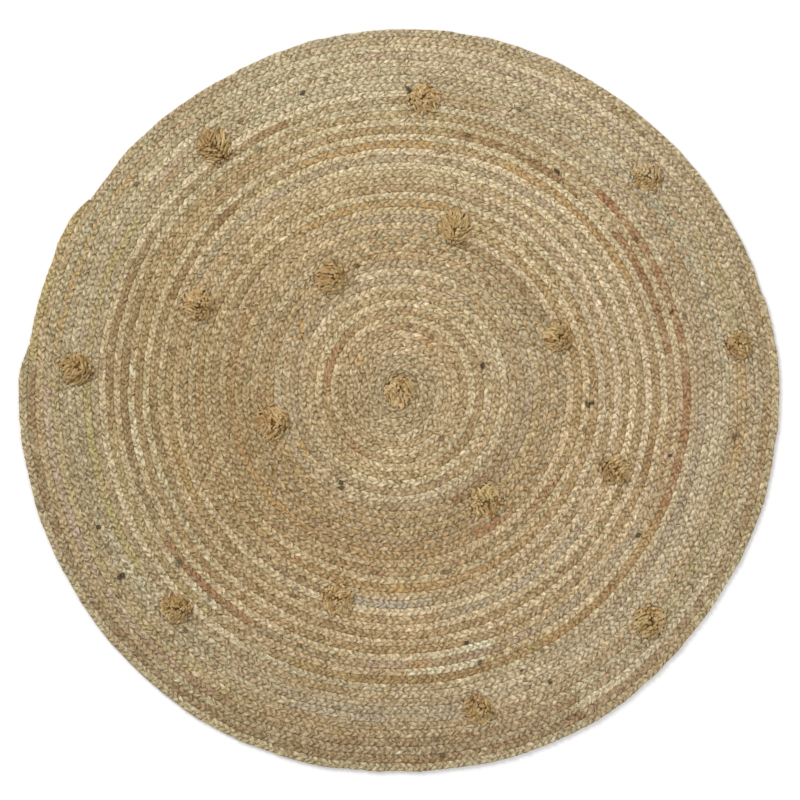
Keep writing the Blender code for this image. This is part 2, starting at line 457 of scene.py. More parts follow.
# The runs of each lap of braid. Laps are counted outward where they cross +X. A later run lies on top.
RUNS = {
    # The middle of the rug.
    4: [Run(-58, 300, GREY, 0.14)],
    5: [Run(30, 170, TAN, 0.2), Run(42, 112, CREAM, 0.2)],
    6: [Run(-58, 300, CREAM, 0.16)],
    7: [
        Run(0, 60, BROWN, 0.18), Run(52, 70, GOLD, 0.6, 2), Run(268, 300, CREAM, 0.6),
        Run(135, 150, GOLD, 0.6, 2),
    ],
    8: [Run(60, 150, TAN, 0.35)],
    10: [Run(128, 175, RUST, 0.45, 2), Run(226, 240, RUST, 0.55, 2)],
    11: [Run(0, 28, TAN, 0.35), Run(210, 240, TAN, 0.5)],
    12: [Run(8, 30, GREY, 0.35), Run(-58, 300, CREAM, 0.18)],
    13: [
        Run(120, 240, TAN, 0.2), Run(12, 26, PALE, 0.35), Run(64, 72, RUST, 0.45, 2),
        Run(110, 150, CREAM, 0.35),
    ],
    14: [Run(-58, 300, GREY, 0.24)],
    15: [
        Run(145, 152, GOLD, 0.6, 2), Run(208, 216, GOLD, 0.5, 2), Run(226, 234, RUST, 0.5, 2),
        Run(240, 300, CREAM, 0.3), Run(0, 58, TAN, 0.35), Run(58, 112, CREAM, 0.4),
    ],
    16: [
        Run(0, 30, TAN, 0.45), Run(150, 262, CREAM, 0.22), Run(-58, 0, MAUVE, 0.35),
        Run(0, 300, GREY, 0.22),
    ],
    17: [Run(0, 60, GREY, 0.3), Run(175, 230, GOLD, 0.22, 2), Run(298, 330, BROWN, 0.5)],
    18: [Run(155, 225, TAN, 0.45), Run(180, 208, BROWN, 0.25)],
    # Between the middle and the striped rows.
    19: [Run(0, 60, TAN, 0.35), Run(118, 178, CREAM, 0.28), Run(178, 212, TAN, 0.3)],
    20: [Run(-61, -46, RUST, 0.6), Run(-140, -61, GOLD, 0.45, 2), Run(25, 66, BROWN, 0.4)],
    22: [
        Run(-42, -28, RUST, 0.55, 2), Run(75, 112, GREY, 0.45), Run(112, 150, CREAM, 0.28),
        Run(205, 300, TAN, 0.5), Run(198, 232, GOLD, 0.5, 2),
    ],
    23: [Run(120, 292, TAN, 0.28)],
    24: [Run(70, 122, GOLD, 0.5, 2), Run(-92, -78, GOLD, 0.5, 2)],
    25: [Run(-10, 30, MAUVE, 0.35, 2)],
    27: [Run(60, 118, TAN, 0.35)],
    # The striped rows.
    28: [Run(256, 279, GREY, 0.8), Run(-80, -35, GREY, 0.5), Run(56, 120, CREAM, 0.25)],
    29: [Run(118, 178, TAN, 0.4), Run(240, 300, CREAM, 0.35)],
    30: [Run(50, 150, GREY, 0.4), Run(193, 212, GOLD, 0.45, 2)],
    31: [
        Run(60, 118, CREAM, 0.3), Run(96, 124, OLIVE, 0.2, 2), Run(150, 206, TAN, 0.42),
        Run(208, 262, TAN, 0.32),
    ],
    32: [
        Run(-75, -35, GREY, 0.22), Run(-35, 60, TAN, 0.4), Run(60, 120, TAN, 0.25),
        Run(-20, -9, BROWN, 0.35), Run(25, 65, GOLD, 0.5, 2), Run(80, 116, GOLD, 0.55, 2),
        Run(130, 158, BROWN, 0.42),
    ],
    33: [Run(-83, -69, PALE, 0.7)],
    34: [
        Run(-96, -60, MAUVE, 0.45), Run(-87, -82, GOLD, 0.5), Run(-60, -20, GREY, 0.45),
        Run(8, 36, RUST, 0.45), Run(8, 36, BROWN, 0.35), Run(48, 76, BROWN, 0.4), Run(86, 122, TAN, 0.35),
    ],
    35: [
        Run(-88, -72, PALE, 0.6), Run(-32, 0, TAN, 0.4), Run(14, 76, TAN, 0.38), Run(118, 182, TAN, 0.58),
        Run(173, 196, PALE, 0.45, 2),
    ],
    36: [
        Run(-112, -60, GOLD, 0.35), Run(-112, -60, OLIVE, 0.35), Run(-112, -60, BROWN, 0.28),
        Run(-60, -23, GOLD, 0.35), Run(-60, -23, BROWN, 0.25), Run(-23, 45, RUST, 0.62),
        Run(45, 78, TAN, 0.6), Run(155, 198, BROWN, 0.28), Run(213, 238, RUST, 0.5),
    ],
    37: [
        Run(-8, 25, TAN, 0.35), Run(150, 180, TAN, 0.35), Run(208, 270, TAN, 0.3),
        Run(216, 231, PALE, 0.5),
    ],
    38: [
        Run(-98, -58, CREAM, 0.28), Run(-48, 72, MAUVE, 0.25), Run(-60, 0, GREY, 0.38),
        Run(72, 92, TAN, 0.6), Run(112, 187, BROWN, 0.34), Run(187, 240, OLIVE, 0.4, 2),
    ],
    39: [Run(0, 82, TAN, 0.45), Run(88, 150, CREAM, 0.35), Run(178, 238, CREAM, 0.38)],
    # The outer rows.
    40: [Run(84, 120, CREAM, 0.22), Run(250, 270, GOLD, 0.12), Run(-62, 0, CREAM, 0.35)],
    41: [
        Run(52, 84, TAN, 0.35), Run(118, 146, TAN, 0.5), Run(238, 284, TAN, 0.35),
        Run(146, 173, OLIVE, 0.6), Run(150, 216, TAN, 0.22), Run(178, 216, OLIVE, 0.6),
        Run(285, 300, CREAM, 0.35),
    ],
    42: [
        Run(-62, 0, TAN, 0.3), Run(56, 120, CREAM, 0.22), Run(132, 173, MAUVE, 0.28),
        Run(205, 222, PALE, 0.45, 2),
    ],
    43: [
        Run(-45, -14, OLIVE, 0.5, 2), Run(-14, 6, GOLD, 0.35), Run(8, 28, OLIVE, 0.35),
        Run(44, 90, CREAM, 0.22), Run(90, 150, CREAM, 0.32), Run(252, 285, GREY, 0.55),
    ],
    44: [Run(24, 96, MAUVE, 0.3), Run(251, 300, TAN, 0.45)],
    45: [
        Run(-60, -30, CREAM, 0.35), Run(40, 136, CREAM, 0.3), Run(140, 270, OLIVE, 0.45, 2),
        Run(120, 182, TAN, 0.38), Run(140, 170, GOLD, 0.35, 2), Run(240, 300, TAN, 0.5),
    ],
    46: [
        Run(-62, 32, BROWN, 0.22), Run(0, 56, GREY, 0.3), Run(56, 112, CREAM, 0.22),
        Run(180, 242, MAUVE, 0.5), Run(225, 300, BROWN, 0.27),
    ],
    47: [
        Run(60, 150, GREY, 0.4), Run(116, 240, TAN, 0.4), Run(240, 300, BROWN, 0.25),
        Run(-60, -38, TAN, 0.5),
    ],
    48: [
        Run(30, 148, TAN, 0.38), Run(148, 176, OLIVE, 0.5), Run(148, 176, GOLD, 0.3, 2),
        Run(177, 300, BROWN, 0.4),
    ],
    49: [Run(180, 262, MAUVE, 0.25, 2)],
}

FLECKS = (
    # Above the middle.
    Fleck(-0.15, 0.49), Fleck(-0.29, 0.335, 1, 0.6), Fleck(-0.07, 0.215, 2, 0.7), Fleck(0.015, 0.495),
    Fleck(0.255, 0.365), Fleck(0.38, 0.255, 1, 0.6), Fleck(0.435, 0.14), Fleck(0.455, 0.13, 1, 0.6),
    Fleck(0.13, 0.06),
    # Below it, to the left.
    Fleck(-0.095, -0.135, 2), Fleck(-0.48, -0.20, 2), Fleck(-0.465, -0.23, 1, 0.6), Fleck(-0.445, -0.28),
    Fleck(-0.35, -0.26, 1, 0.6), Fleck(-0.305, -0.315, 2, 0.6),
    # Below it, to the right.
    Fleck(0.305, -0.005, 2), Fleck(0.54, -0.06, 1, 0.7), Fleck(0.435, -0.085), Fleck(0.38, -0.22),
    Fleck(0.105, -0.385), Fleck(0.125, -0.42, 2), Fleck(0.24, -0.45),
)


@dataclass(frozen=True)
class StrandMix:
    """How a strand's jute changes by itself, batch by batch and lobe by lobe, on a screen's scale."""

    tone_spans: tuple[float, ...] = (60.0, 14.0, 4.0, 1.0)
    tone_heights: tuple[float, ...] = (2.0, 2.5, 3.0, 6.0)
    warm_spans: tuple[float, ...] = (50.0, 12.0, 3.0)
    warm_heights: tuple[float, ...] = (1.5, 1.2, 0.4)
    green_spans: tuple[float, ...] = (20.0, 5.0)
    green_heights: tuple[float, ...] = (0.9, 0.3)
    green: tuple[float, float, float] = (-0.8, 0.8, -0.4)
    patch_share: float = 0.12
    patch_length: float = 5.0
    patch_strength: tuple[float, float] = (0.05, 0.24)
    run_spreads: tuple[float, float] = (0.34, 0.36)  # how unevenly a run is dyed, slowly and lobe by lobe
    run_limits: tuple[float, float] = (0.15, 1.5)
    run_span: float = 5.0
    faint_odds: float = 0.0024
    faint_share: float = 0.6
    fleck_reach: float = 0.006
    patch_shades: tuple[Shade, ...] = (GREY, MAUVE, OLIVE, GOLD, PALE, BROWN, CREAM, RUST)
    inner_odds: tuple[float, ...] = (4, 1, 1, 3, 1, 4, 4, 1.5)
    middle_odds: tuple[float, ...] = (3, 1, 1, 3, 2, 3, 4, 1.5)
    outer_odds: tuple[float, ...] = (5, 4, 4, 2, 2, 3, 3, 0.3)
    middle_rows: tuple[float, float] = (20.0, 38.0)


@dataclass
class YarnColours:
    """Works out the shade of every lobe of a braid."""

    coil: Coil
    mix: StrandMix = field(default_factory=StrandMix)

    def lobes(self, braid: int, travel: np.ndarray, share: np.ndarray) -> np.ndarray:
        """The shade of each lobe.

        Args:
            braid: 0 for the inner braid, 1 for the outer.
            travel: each lobe's travel round the coil, in radians.
            share: how far across the row each lobe's middle is.

        Returns:
            Linear colours, one row for each lobe.
        """
        even_rows, angle = self.coil.across(braid, travel, share)
        rows = even_rows + self.coil.shifted(even_rows, angle)
        colour = self.by_zone(braid, rows, np.degrees(angle) % 360.0)
        colour += self.by_strand(len(rows), chance_for(Draw.STRANDS, braid))
        colour = self.with_patches(colour, rows, chance_for(Draw.PATCHES, braid))
        return linear(self.with_runs(colour, braid, np.degrees(travel), chance_for(Draw.RUNS, braid)))

    def by_zone(self, braid: int, rows: np.ndarray, angle: np.ndarray) -> np.ndarray:
        """Each lobe's shade by its row, and by the broad part of the rug that it lies in.

        Args:
            braid: 0 for the inner braid, 1 for the outer.
            rows: each lobe's distance from the centre, in rows.
            angle: its angle, from 0 to 360 degrees.

        Returns:
            Screen values, one row for each lobe.
        """
        knots = [zone.row for zone in ZONES]
        colour = np.repeat(screen(SAND)[None], len(rows), 0)
        shades = [zone.outer_shade if braid else zone.inner_shade for zone in ZONES]
        shares = np.array([zone.outer_share if braid else zone.inner_share for zone in ZONES])
        inside = np.ones(len(rows))
        for value, (low, high), edge in zip((rows, angle), (FADED_ROWS, FADED_ANGLES), FADE_EDGES):
            inside *= smooth((value - low) / edge) * smooth((high - value) / edge)
        keep = 1.0 - (1.0 - FADED_SHARE) * inside
        blended = np.zeros_like(colour)
        for shade in dict.fromkeys(shades):
            weight = np.interp(rows, knots, shares * [one is shade for one in shades])
            blended += (weight * keep)[:, None] * (screen(shade) - screen(SAND))
        tone = np.interp(rows, knots, [zone.tone for zone in ZONES])
        colour += blended + tone[:, None]
        for drift in TONE_DRIFTS:
            off = from_angle(angle, drift.angle)
            near = ((rows - drift.row) / drift.row_spread) ** 2 + (off / drift.angle_spread) ** 2
            change = drift.tone + drift.warm * np.array(WARM)
            change = change + drift.green * np.array(self.mix.green)
            colour += np.exp(-0.5 * near)[:, None] * change
        return colour

    def by_strand(self, count: int, chance: np.random.Generator) -> np.ndarray:
        """The slow and quick changes along each of the three strands.

        Args:
            count: how many lobes the braid has.
            chance: the source of the random numbers.

        Returns:
            What they add to each lobe's screen values.
        """
        change = np.zeros((count, 3))
        for strand in range(STRANDS):
            own = np.arange(strand, count, STRANDS)
            for spans, heights, axis in (
                (self.mix.tone_spans, self.mix.tone_heights, (1.0, 1.0, 1.0)),
                (self.mix.warm_spans, self.mix.warm_heights, WARM),
                (self.mix.green_spans, self.mix.green_heights, self.mix.green),
            ):
                series = (h * slow_series(len(own), span, chance) for span, h in zip(spans, heights))
                value = sum(series)
                change[own] += value[:, None] * np.array(axis)
        return change

    def with_patches(
        self, colour: np.ndarray, rows: np.ndarray, chance: np.random.Generator
    ) -> np.ndarray:
        """Adds stretches of single strands in shades of their own.

        Args:
            colour: each lobe's screen values, which are changed.
            rows: each lobe's distance from the centre, in rows.
            chance: the source of the random numbers.

        Returns:
            The changed screen values.
        """
        mix = self.mix
        low, high = mix.middle_rows
        for strand in range(STRANDS):
            at = strand
            while at < len(colour):
                at += STRANDS * max(1, int(chance.exponential(mix.patch_length / mix.patch_share)))
                length = 1 + int(chance.exponential(mix.patch_length))
                if at >= len(colour):
                    break
                part = int(rows[at] >= low) + int(rows[at] >= high)
                odds = np.array((mix.inner_odds, mix.middle_odds, mix.outer_odds)[part])
                shade = mix.patch_shades[chance.choice(len(odds), p=odds / odds.sum())]
                share = chance.uniform(*mix.patch_strength)
                own = np.arange(at, min(at + STRANDS * length, len(colour)), STRANDS)
                colour[own] += share * (screen(shade) - colour[own])
                at += STRANDS * length
        return colour

    def with_runs(
        self, colour: np.ndarray, braid: int, travel: np.ndarray, chance: np.random.Generator
    ) -> np.ndarray:
        """Adds the charted runs of colour.

        Args:
            colour: each lobe's screen values, which are changed.
            braid: 0 for the inner braid, 1 for the outer.
            travel: each lobe's travel round the coil, in degrees.
            chance: the source of the random numbers.

        Returns:
            The changed screen values.
        """
        slow, quick = self.mix.run_spreads
        own_laps = [lap for lap in RUNS if lap % self.coil.braids == braid]
        for lap, run in ((lap, run) for lap in own_laps for run in RUNS[lap]):
            ends = [self.coil.travel_of(lap, angle) for angle in (run.end, run.start)]
            low, high = np.searchsorted(travel, ends)
            own = np.arange(low, high)
            own = own[(own + lap) % STRANDS < run.strands]
            uneven = 1.0 + slow * slow_series(len(own), self.mix.run_span, chance)
            uneven = uneven + chance.normal(0, quick, len(own))
            share = run.share * np.clip(uneven, *self.mix.run_limits)
            colour[own] += np.clip(share, 0.0, 1.0)[:, None] * (screen(run.shade) - colour[own])
        return colour

    def flecks(self, braid: int, travel: np.ndarray, share: np.ndarray) -> np.ndarray:
        """How strongly the charted flecks, and a scatter of faint ones, mark each lobe.

        Args:
            braid: 0 for the inner braid, 1 for the outer.
            travel: each lobe's travel round the coil, in radians.
            share: how far across the row each lobe's middle is.

        Returns:
            A share for each lobe, from 0 to 1.
        """
        x, y = self.coil.place(*self.coil.across(braid, travel, share))
        chance = chance_for(Draw.FLECKS, braid)
        marks = np.where(chance.random(len(x)) < self.mix.faint_odds, self.mix.faint_share, 0.0)
        for fleck in FLECKS:
            away = np.hypot(x - fleck.x, y - fleck.y)
            marked = np.argsort(away)[: fleck.lobes]
            marks[marked[away[marked] < self.mix.fleck_reach]] = fleck.share
        return marks


# ---- Shaders ----
class Value:
    """One number that a node gives. Python's operators, with it on either side, add Math nodes."""

    def __init__(self, shader: "Shader", socket: bpy.types.NodeSocket) -> None:
        """Wraps a socket of a shader's node tree."""
        self.shader = shader
        self.socket = socket

    def _math(self, operation: str, first: "Value | float", second: "Value | float") -> "Value":
        """Adds a Math node for two values."""
        return self.shader.value("ShaderNodeMath", {"operation": operation}, {0: first, 1: second})

    def __add__(self, other: "Value | float") -> "Value":
        """self + other."""
        return self._math("ADD", self, other)

    __radd__ = __add__

    def __sub__(self, other: "Value | float") -> "Value":
        """self - other."""
        return self._math("SUBTRACT", self, other)

    def __rsub__(self, other: "Value | float") -> "Value":
        """other - self."""
        return self._math("SUBTRACT", other, self)

    def __mul__(self, other: "Value | float") -> "Value":
        """self * other."""
        return self._math("MULTIPLY", self, other)

    __rmul__ = __mul__

    def __pow__(self, other: "Value | float") -> "Value":
        """self to the power other."""
        return self._math("POWER", self, other)


class Shader:
    """A material's node tree, with a Principled shader."""

    def __init__(self, name: str) -> None:
        """Makes a material with an empty Principled shader.

        Args:
            name: the material's name.
        """
        self.material = bpy.data.materials.new(name)
        self.material.use_nodes = True
        self.tree = self.material.node_tree
        self.surface = self.tree.nodes["Principled BSDF"]

    def node(
        self, kind: str, settings: dict | None = None, inputs: dict | None = None
    ) -> bpy.types.Node:
        """Adds one node.

        Args:
            kind: the node's type.
            settings: its settings by name, which are set first.
            inputs: values, sockets or Values by the name or number of the input.

        Returns:
            The node.
        """
        node = self.tree.nodes.new(kind)
        for key, setting in (settings or {}).items():
            setattr(node, key, setting)
        for key, given in (inputs or {}).items():
            self.feed(node.inputs[key], given)
        return node

    def feed(
        self, entry: bpy.types.NodeSocket, given: "Value | bpy.types.NodeSocket | float | tuple"
    ) -> None:
        """Links or sets one input.

        Args:
            entry: the input.
            given: what it takes: a value, a socket or a Value.
        """
        if isinstance(given, Value):
            given = given.socket
        if isinstance(given, bpy.types.NodeSocket):
            self.tree.links.new(given, entry)
        else:
            entry.default_value = given

    def value(self, kind: str, settings: dict | None = None, inputs: dict | None = None) -> Value:
        """Adds one node and gives its first output as a value."""
        return Value(self, self.node(kind, settings, inputs).outputs[0])

    def attribute(self, name: str) -> bpy.types.Node:
        """Adds a node that reads an attribute of the mesh."""
        return self.node("ShaderNodeAttribute", {"attribute_name": name})


@dataclass(frozen=True)
class JuteFinish:
    """Dry jute: fine fibres along the strand, painted shade in the gaps, and a painted highlight and dull
    gleam on the crests.
    """

    name: str
    fibres_across: float  # fibre streaks in a millimetre across the strand
    fibres_along: float  # how quickly a streak changes in a millimetre along the strand
    streak: float  # how much the streaks lighten and darken the yarn
    ply_scale: float  # how much broader a bundle of fibres is than one streak
    ply: float  # how much the bundles differ
    mottle: float  # how much broader stains do
    crest: float  # how much the painted highlight lightens the crests
    painted_shade_strength: float  # how dark the painted shade makes the gaps
    painted_shade_fall: float  # how quickly the painted shade deepens
    # the colour that the painted shade darkens the gaps toward
    painted_shade_tint: tuple[float, float, float, float]
    rough: float
    rough_spread: float
    gleam: float
    bump: float  # the fibres' height in metres
    bump_strength: float
    light_tint: tuple[float, float, float] = (0.9, 1.02, 1.3)  # light streaks and the painted highlight are paler, dark streaks browner
    mottle_scale: float = 0.32  # how many stains there are in a millimetre
    fibre_detail: float = 3.0
    ply_detail: float = 1.0
    mottle_detail: float = 2.0

    def spread(self, shader: Shader, value: Value) -> bpy.types.NodeSocket:
        """Gives one value as all three parts of a vector."""
        return shader.node("ShaderNodeCombineXYZ", None, {0: value, 1: value, 2: value}).outputs[0]

    def material(self) -> bpy.types.Material:
        """Builds the material.

        Returns:
            A material that reads the mesh's "yarn" colours, its painted shade and highlight, and its
            "fibre" map.
        """
        shader = Shader(self.name)
        where = shader.node("ShaderNodeUVMap", {"uv_map": "fibre"}).outputs[0]
        along = shader.node(
            "ShaderNodeVectorMath", {"operation": "MULTIPLY"},
            {0: where, 1: (self.fibres_across, self.fibres_along, 1.0)},
        ).outputs[0]
        streak, ply, coarse = (
            shader.value("ShaderNodeTexNoise", None, {"Vector": vector, "Scale": scale, "Detail": detail})
            for vector, scale, detail in (
                (along, 1.0, self.fibre_detail),
                (along, self.ply_scale, self.ply_detail),
                (where, self.mottle_scale, self.mottle_detail),
            )
        )
        depth = Value(shader, shader.attribute("depth").outputs["Fac"])
        light = (streak - 0.5) * self.streak + (ply - 0.5) * self.ply + (coarse - 0.5) * self.mottle
        # A painted highlight on the crests, where the painted shading is below 0.
        painted_light = shader.value("ShaderNodeMath", {"operation": "MINIMUM"}, {0: depth, 1: 0.0})
        light = light - painted_light * self.crest
        # Painted shade in the gaps, where the painted shading is above 0, blended toward the tint below.
        painted_shade = shader.value("ShaderNodeMath", {"operation": "MAXIMUM"}, {0: depth, 1: 0.0})
        tinted = shader.node(
            "ShaderNodeVectorMath", {"operation": "MULTIPLY_ADD"},
            {0: self.spread(shader, light), 1: self.light_tint, 2: (1.0, 1.0, 1.0)},
        ).outputs[0]
        yarn = shader.attribute("yarn").outputs["Color"]
        fibres = shader.node(
            "ShaderNodeVectorMath", {"operation": "MULTIPLY"}, {0: yarn, 1: tinted}
        ).outputs[0]
        shaded = shader.node(
            "ShaderNodeMix", {"data_type": "RGBA", "blend_type": "MULTIPLY"},
            # The colours that a Mix node blends are its inputs 6 and 7, and its colour is output 2.
            {"Factor": painted_shade**self.painted_shade_fall * self.painted_shade_strength, 6: fibres, 7: self.painted_shade_tint},
        ).outputs[2]
        shader.feed(shader.surface.inputs["Base Color"], shaded)
        shader.feed(shader.surface.inputs["Roughness"], (streak - 0.5) * self.rough_spread + self.rough)
        shader.feed(shader.surface.inputs["Specular IOR Level"], self.gleam)
        bump = shader.node(
            "ShaderNodeBump", None,
            {"Strength": self.bump_strength, "Distance": self.bump, "Height": streak},
        ).outputs[0]
        shader.feed(shader.surface.inputs["Normal"], bump)
        return shader.material


BRAID_FINISH = JuteFinish(
    name="jute_braid", fibres_across=0.8, fibres_along=0.30, streak=0.94,
    ply_scale=0.42, ply=1.6, mottle=1.2, crest=0.32, painted_shade_strength=0.58, painted_shade_fall=0.9,
    painted_shade_tint=(0.16, 0.095, 0.015, 1.0), rough=0.82, rough_spread=0.25, gleam=0.28,
    bump=0.0006, bump_strength=0.7,
)
POMPOM_FINISH = JuteFinish(
    name="jute_yarn", fibres_across=2.0, fibres_along=0.12, streak=0.55,
    ply_scale=0.3, ply=0.6, mottle=0.50, crest=0.12, painted_shade_strength=1.0, painted_shade_fall=1.0,
    painted_shade_tint=(0.42, 0.26, 0.09, 1.0), rough=0.85, rough_spread=0.20, gleam=0.25,
    bump=0.0005, bump_strength=0.6, light_tint=(0.85, 1.0, 1.45),
)


# ---- Meshes ----
@dataclass
class FaceGroup:
    """Faces with the same number of corners, and what each corner and face carries."""

    corners: np.ndarray  # vertex numbers, a row for each face
    fibre: np.ndarray  # each corner's place on the fibre map, in millimetres
    bake: np.ndarray  # each corner's place on the map for the bake
    yarn: np.ndarray  # each face's linear colour


@dataclass
class MeshPiece:
    """One mesh piece of the rug, put together from arrays."""

    name: str
    places: np.ndarray
    # painted shade above 0 and a painted highlight below 0, at each point
    depth: np.ndarray
    groups: list[FaceGroup]

    def build(self, material: bpy.types.Material) -> bpy.types.Object:
        """Makes the object.

        Args:
            material: what it wears.

        Returns:
            The object, at the origin, with its place in its mesh.
        """
        mesh = bpy.data.meshes.new(self.name)
        faces = [face for group in self.groups for face in group.corners.tolist()]
        mesh.from_pydata(self.places.tolist(), [], faces, shade_flat=False)
        for name, part in (("fibre", "fibre"), (MAP_FOR_BAKE, "bake")):
            layer = mesh.uv_layers.new(name=name)
            flat = np.concatenate([getattr(group, part).reshape(-1, 2) for group in self.groups])
            layer.uv.foreach_set("vector", flat.astype(np.float32).ravel())
        yarn = np.concatenate([group.yarn for group in self.groups])
        layer = mesh.attributes.new("yarn", "FLOAT_COLOR", "FACE")
        layer.data.foreach_set("color", np.c_[yarn, np.ones(len(yarn))].astype(np.float32).ravel())
        # The painted shade and highlight at each point, which the material reads.
        layer = mesh.attributes.new("depth", "FLOAT", "POINT")
        layer.data.foreach_set("value", self.depth.astype(np.float32))
        mesh.materials.append(material)
        mesh.update()
        made = bpy.data.objects.new(self.name, mesh)
        bpy.context.scene.collection.objects.link(made)
        return made


# ---- The braided field ----
@dataclass(frozen=True)
class BraidLine:
    """One line along a row of braid. Heights are above the floor."""

    across: float  # share of the row's width, from its inner edge
    crest: float  # its height on a lobe
    gap: float  # its height between two lobes
    bulge: float  # how far it stands outward on a lobe, in metres
    painted_gap_shade: float  # how much painted shade the gap gets, from 0 to 1
    painted_crest_highlight: float  # how much painted highlight the crest gets, from 0 to 1


@dataclass(frozen=True)
class Unevenness:
    """How each lobe of a braid differs, and how each point of its mesh strays."""

    plump: np.ndarray
    slip: np.ndarray
    rough: np.ndarray
    # how strongly each lobe's gaps take the painted shade
    gap: np.ndarray

    def slip_at(self, lobe: np.ndarray, share: np.ndarray) -> np.ndarray:
        """How far a point slips, from this lobe's start to the start of the next one on the same side."""
        return self.slip[lobe] * (1 - share) + self.slip[lobe + 2] * share


@dataclass(frozen=True)
class BraidPlan:
    """What all lengths of one braid share."""

    braid: int  # 0 for the inner braid, 1 for the outer
    travel_at: tuple[np.ndarray, np.ndarray]  # lengths along it, and the travel round the coil at each
    uneven: Unevenness
    yarn: np.ndarray  # each lobe's colour
    marks: np.ndarray  # how strongly a fleck marks each lobe


@dataclass
class BraidedField:
    """The rug's flat field: two long three-strand braids, coiled side by side, in three lengths each."""

    coil: Coil
    colours: YarnColours
    pitch: float = 0.0109  # along the row, from one lobe to the next on the same side
    lean: float = 0.26  # how far a lobe's end at the row's edge curls back, in pitches
    lean_power: float = 1.7
    steps: int = 6  # mesh steps in a pitch
    lengths: int = 3  # pieces that a braid is made in
    cut_width: float = 0.0124  # a row's width once it is sewn
    flat_width: float = 0.0135  # the braid's own width, before its edges are drawn together
    lobe_middles: tuple[float, float] = (0.25, 0.75)  # across the row, on its inner and outer side
    lane_count: int = 21  # strips that a length is cut into on the map for the bake
    line_points: int = 40000  # points at which the braid's length is measured
    spare_lobes: int = 8  # how many more lobes are drawn than the braid has
    plump_spread: float = 0.21  # how unevenly thick the lobes are
    plump_limits: tuple[float, float] = (0.6, 1.3)
    slip_spread: float = 0.22  # how unevenly long they are, in pitches
    slip_limits: tuple[float, float] = (-0.34, 0.34)
    gap_spread: float = 0.70  # how unevenly the painted shade darkens the gaps between them
    gap_limits: tuple[float, float] = (0.3, 2.2)
    rough_limits: tuple[float, float] = (-2.2, 2.2)  # for the four that follow, in spreads
    rough_run: float = 0.034  # how far each point of the mesh strays along the row, in pitches
    rough_share: float = 0.034  # and across it, as a share of the row
    rough_height: float = 0.00025  # how far it strays up or down
    rough_painted_shading: float = 0.46  # and how much painted highlight higher points get, and painted shade lower ones
    crossing_swing: float = 0.07  # how far the middle line swings to each side, as a share of the row
    crossing_low: float = 0.0056  # the height that it falls toward between two crossings
    crossing_rise: float = 0.15  # how much of the way it stays above that
    crossing_slip: float = 0.5  # how much of a lobe's slip it follows
    crossing_painted_shades: tuple[float, float] = (0.05, 0.42)  # its painted shade at a crossing and between
    highest: float = 0.0084
    tail_heights: tuple[float, float] = (0.55, 0.45)  # height at a tail's tip, and what full width adds
    lines: tuple[BraidLine, ...] = (
        BraidLine(0.0, 0.0062, 0.0050, 0.0004, 0.52, 0.0),
        BraidLine(1 / 6, 0.0079, 0.0053, 0.0, 0.68, 1.0),
        BraidLine(2 / 6, 0.0080, 0.0050, 0.0, 0.80, 0.9),
        BraidLine(3 / 6, 0.0070, 0.0070, 0.0, 0.0, 0.0),
        BraidLine(4 / 6, 0.0080, 0.0050, 0.0, 0.80, 0.9),
        BraidLine(5 / 6, 0.0079, 0.0053, 0.0, 0.68, 1.0),
        BraidLine(1.0, 0.0062, 0.0050, 0.0004, 0.52, 0.0),
    )
    lobe_profile: tuple[float, ...] = (0.0, 0.52, 0.90, 1.0, 0.86, 0.42)
    painted_shading_profile: tuple[float, ...] = (1.0, 0.30, -0.55, -0.80, -0.30, 0.42)  # painted shade along a lobe; below 0 it is a painted highlight
    fleck_steps: tuple[int, int] = (1, 5)  # the steps of a lobe that a fleck covers
    under_edge: tuple[float, float] = (0.0010, 0.0020)  # the underside's edges, on a lobe and in a gap
    under_across: tuple[float, float, float] = (-0.01, 0.5, 1.01)  # its edges and middle across the row
    under_painted_shades: tuple[float, float, float] = (0.3, 0.1, 0.3)  # their painted shade
    ring_top: tuple[float, float] = (0.03, 0.10)  # round the section on the maps: first line and step
    ring_under: tuple[float, float, float] = (0.90, 0.80, 0.70)  # inner edge, middle and outer edge below
    ring_edges: tuple[float, float] = (0.97, 0.63)  # where the inner and outer edges meet the upper side
    ring_half: float = 0.3  # from a row's edge to its middle line
    ring_ends: tuple[float, float] = (0.1, 0.9)
    bake_ends: tuple[float, float] = (0.2, 0.8)  # along a lane of the map for the bake
    fibre_lean: float = 4.5  # how far the fibres slant across a lobe, in millimetres
    fibre_scale: float = 0.8  # how long a pitch is on the fibre map
    fibre_jump: float = 23.7  # how far apart two lobes lie on it
    fibre_round: float = 32.0  # how far it is round the section

    def build(self, material: bpy.types.Material) -> list[tuple[bpy.types.Object, float]]:
        """Makes every length of both braids.

        Args:
            material: the braid's finish.

        Returns:
            The pieces, inner braid first, each with its length in metres.
        """
        made = []
        for braid, side in enumerate(("inner", "outer")):
            travel_at = self.travel_by_length(braid)
            pitches = int(travel_at[0][-1] / self.pitch - self.lean) - 1
            lobes = np.arange(2 * pitches + 2)
            travel = np.interp((lobes / 2 + self.curl(0.5)) * self.pitch, *travel_at)
            share = np.where(lobes % 2, *self.lobe_middles)
            plan = BraidPlan(
                braid, travel_at, self.unevenness(pitches, chance_for(Draw.LOBES, braid)),
                self.colours.lobes(braid, travel, share), self.colours.flecks(braid, travel, share),
            )
            cuts = np.linspace(0, pitches, self.lengths + 1).astype(int)
            for number, (first, last) in enumerate(zip(cuts[:-1], cuts[1:]), start=1):
                piece = self.length(f"{side}_braid_{number}", plan, first, last)
                made.append((piece.build(material), (last - first) * self.pitch))
        return made

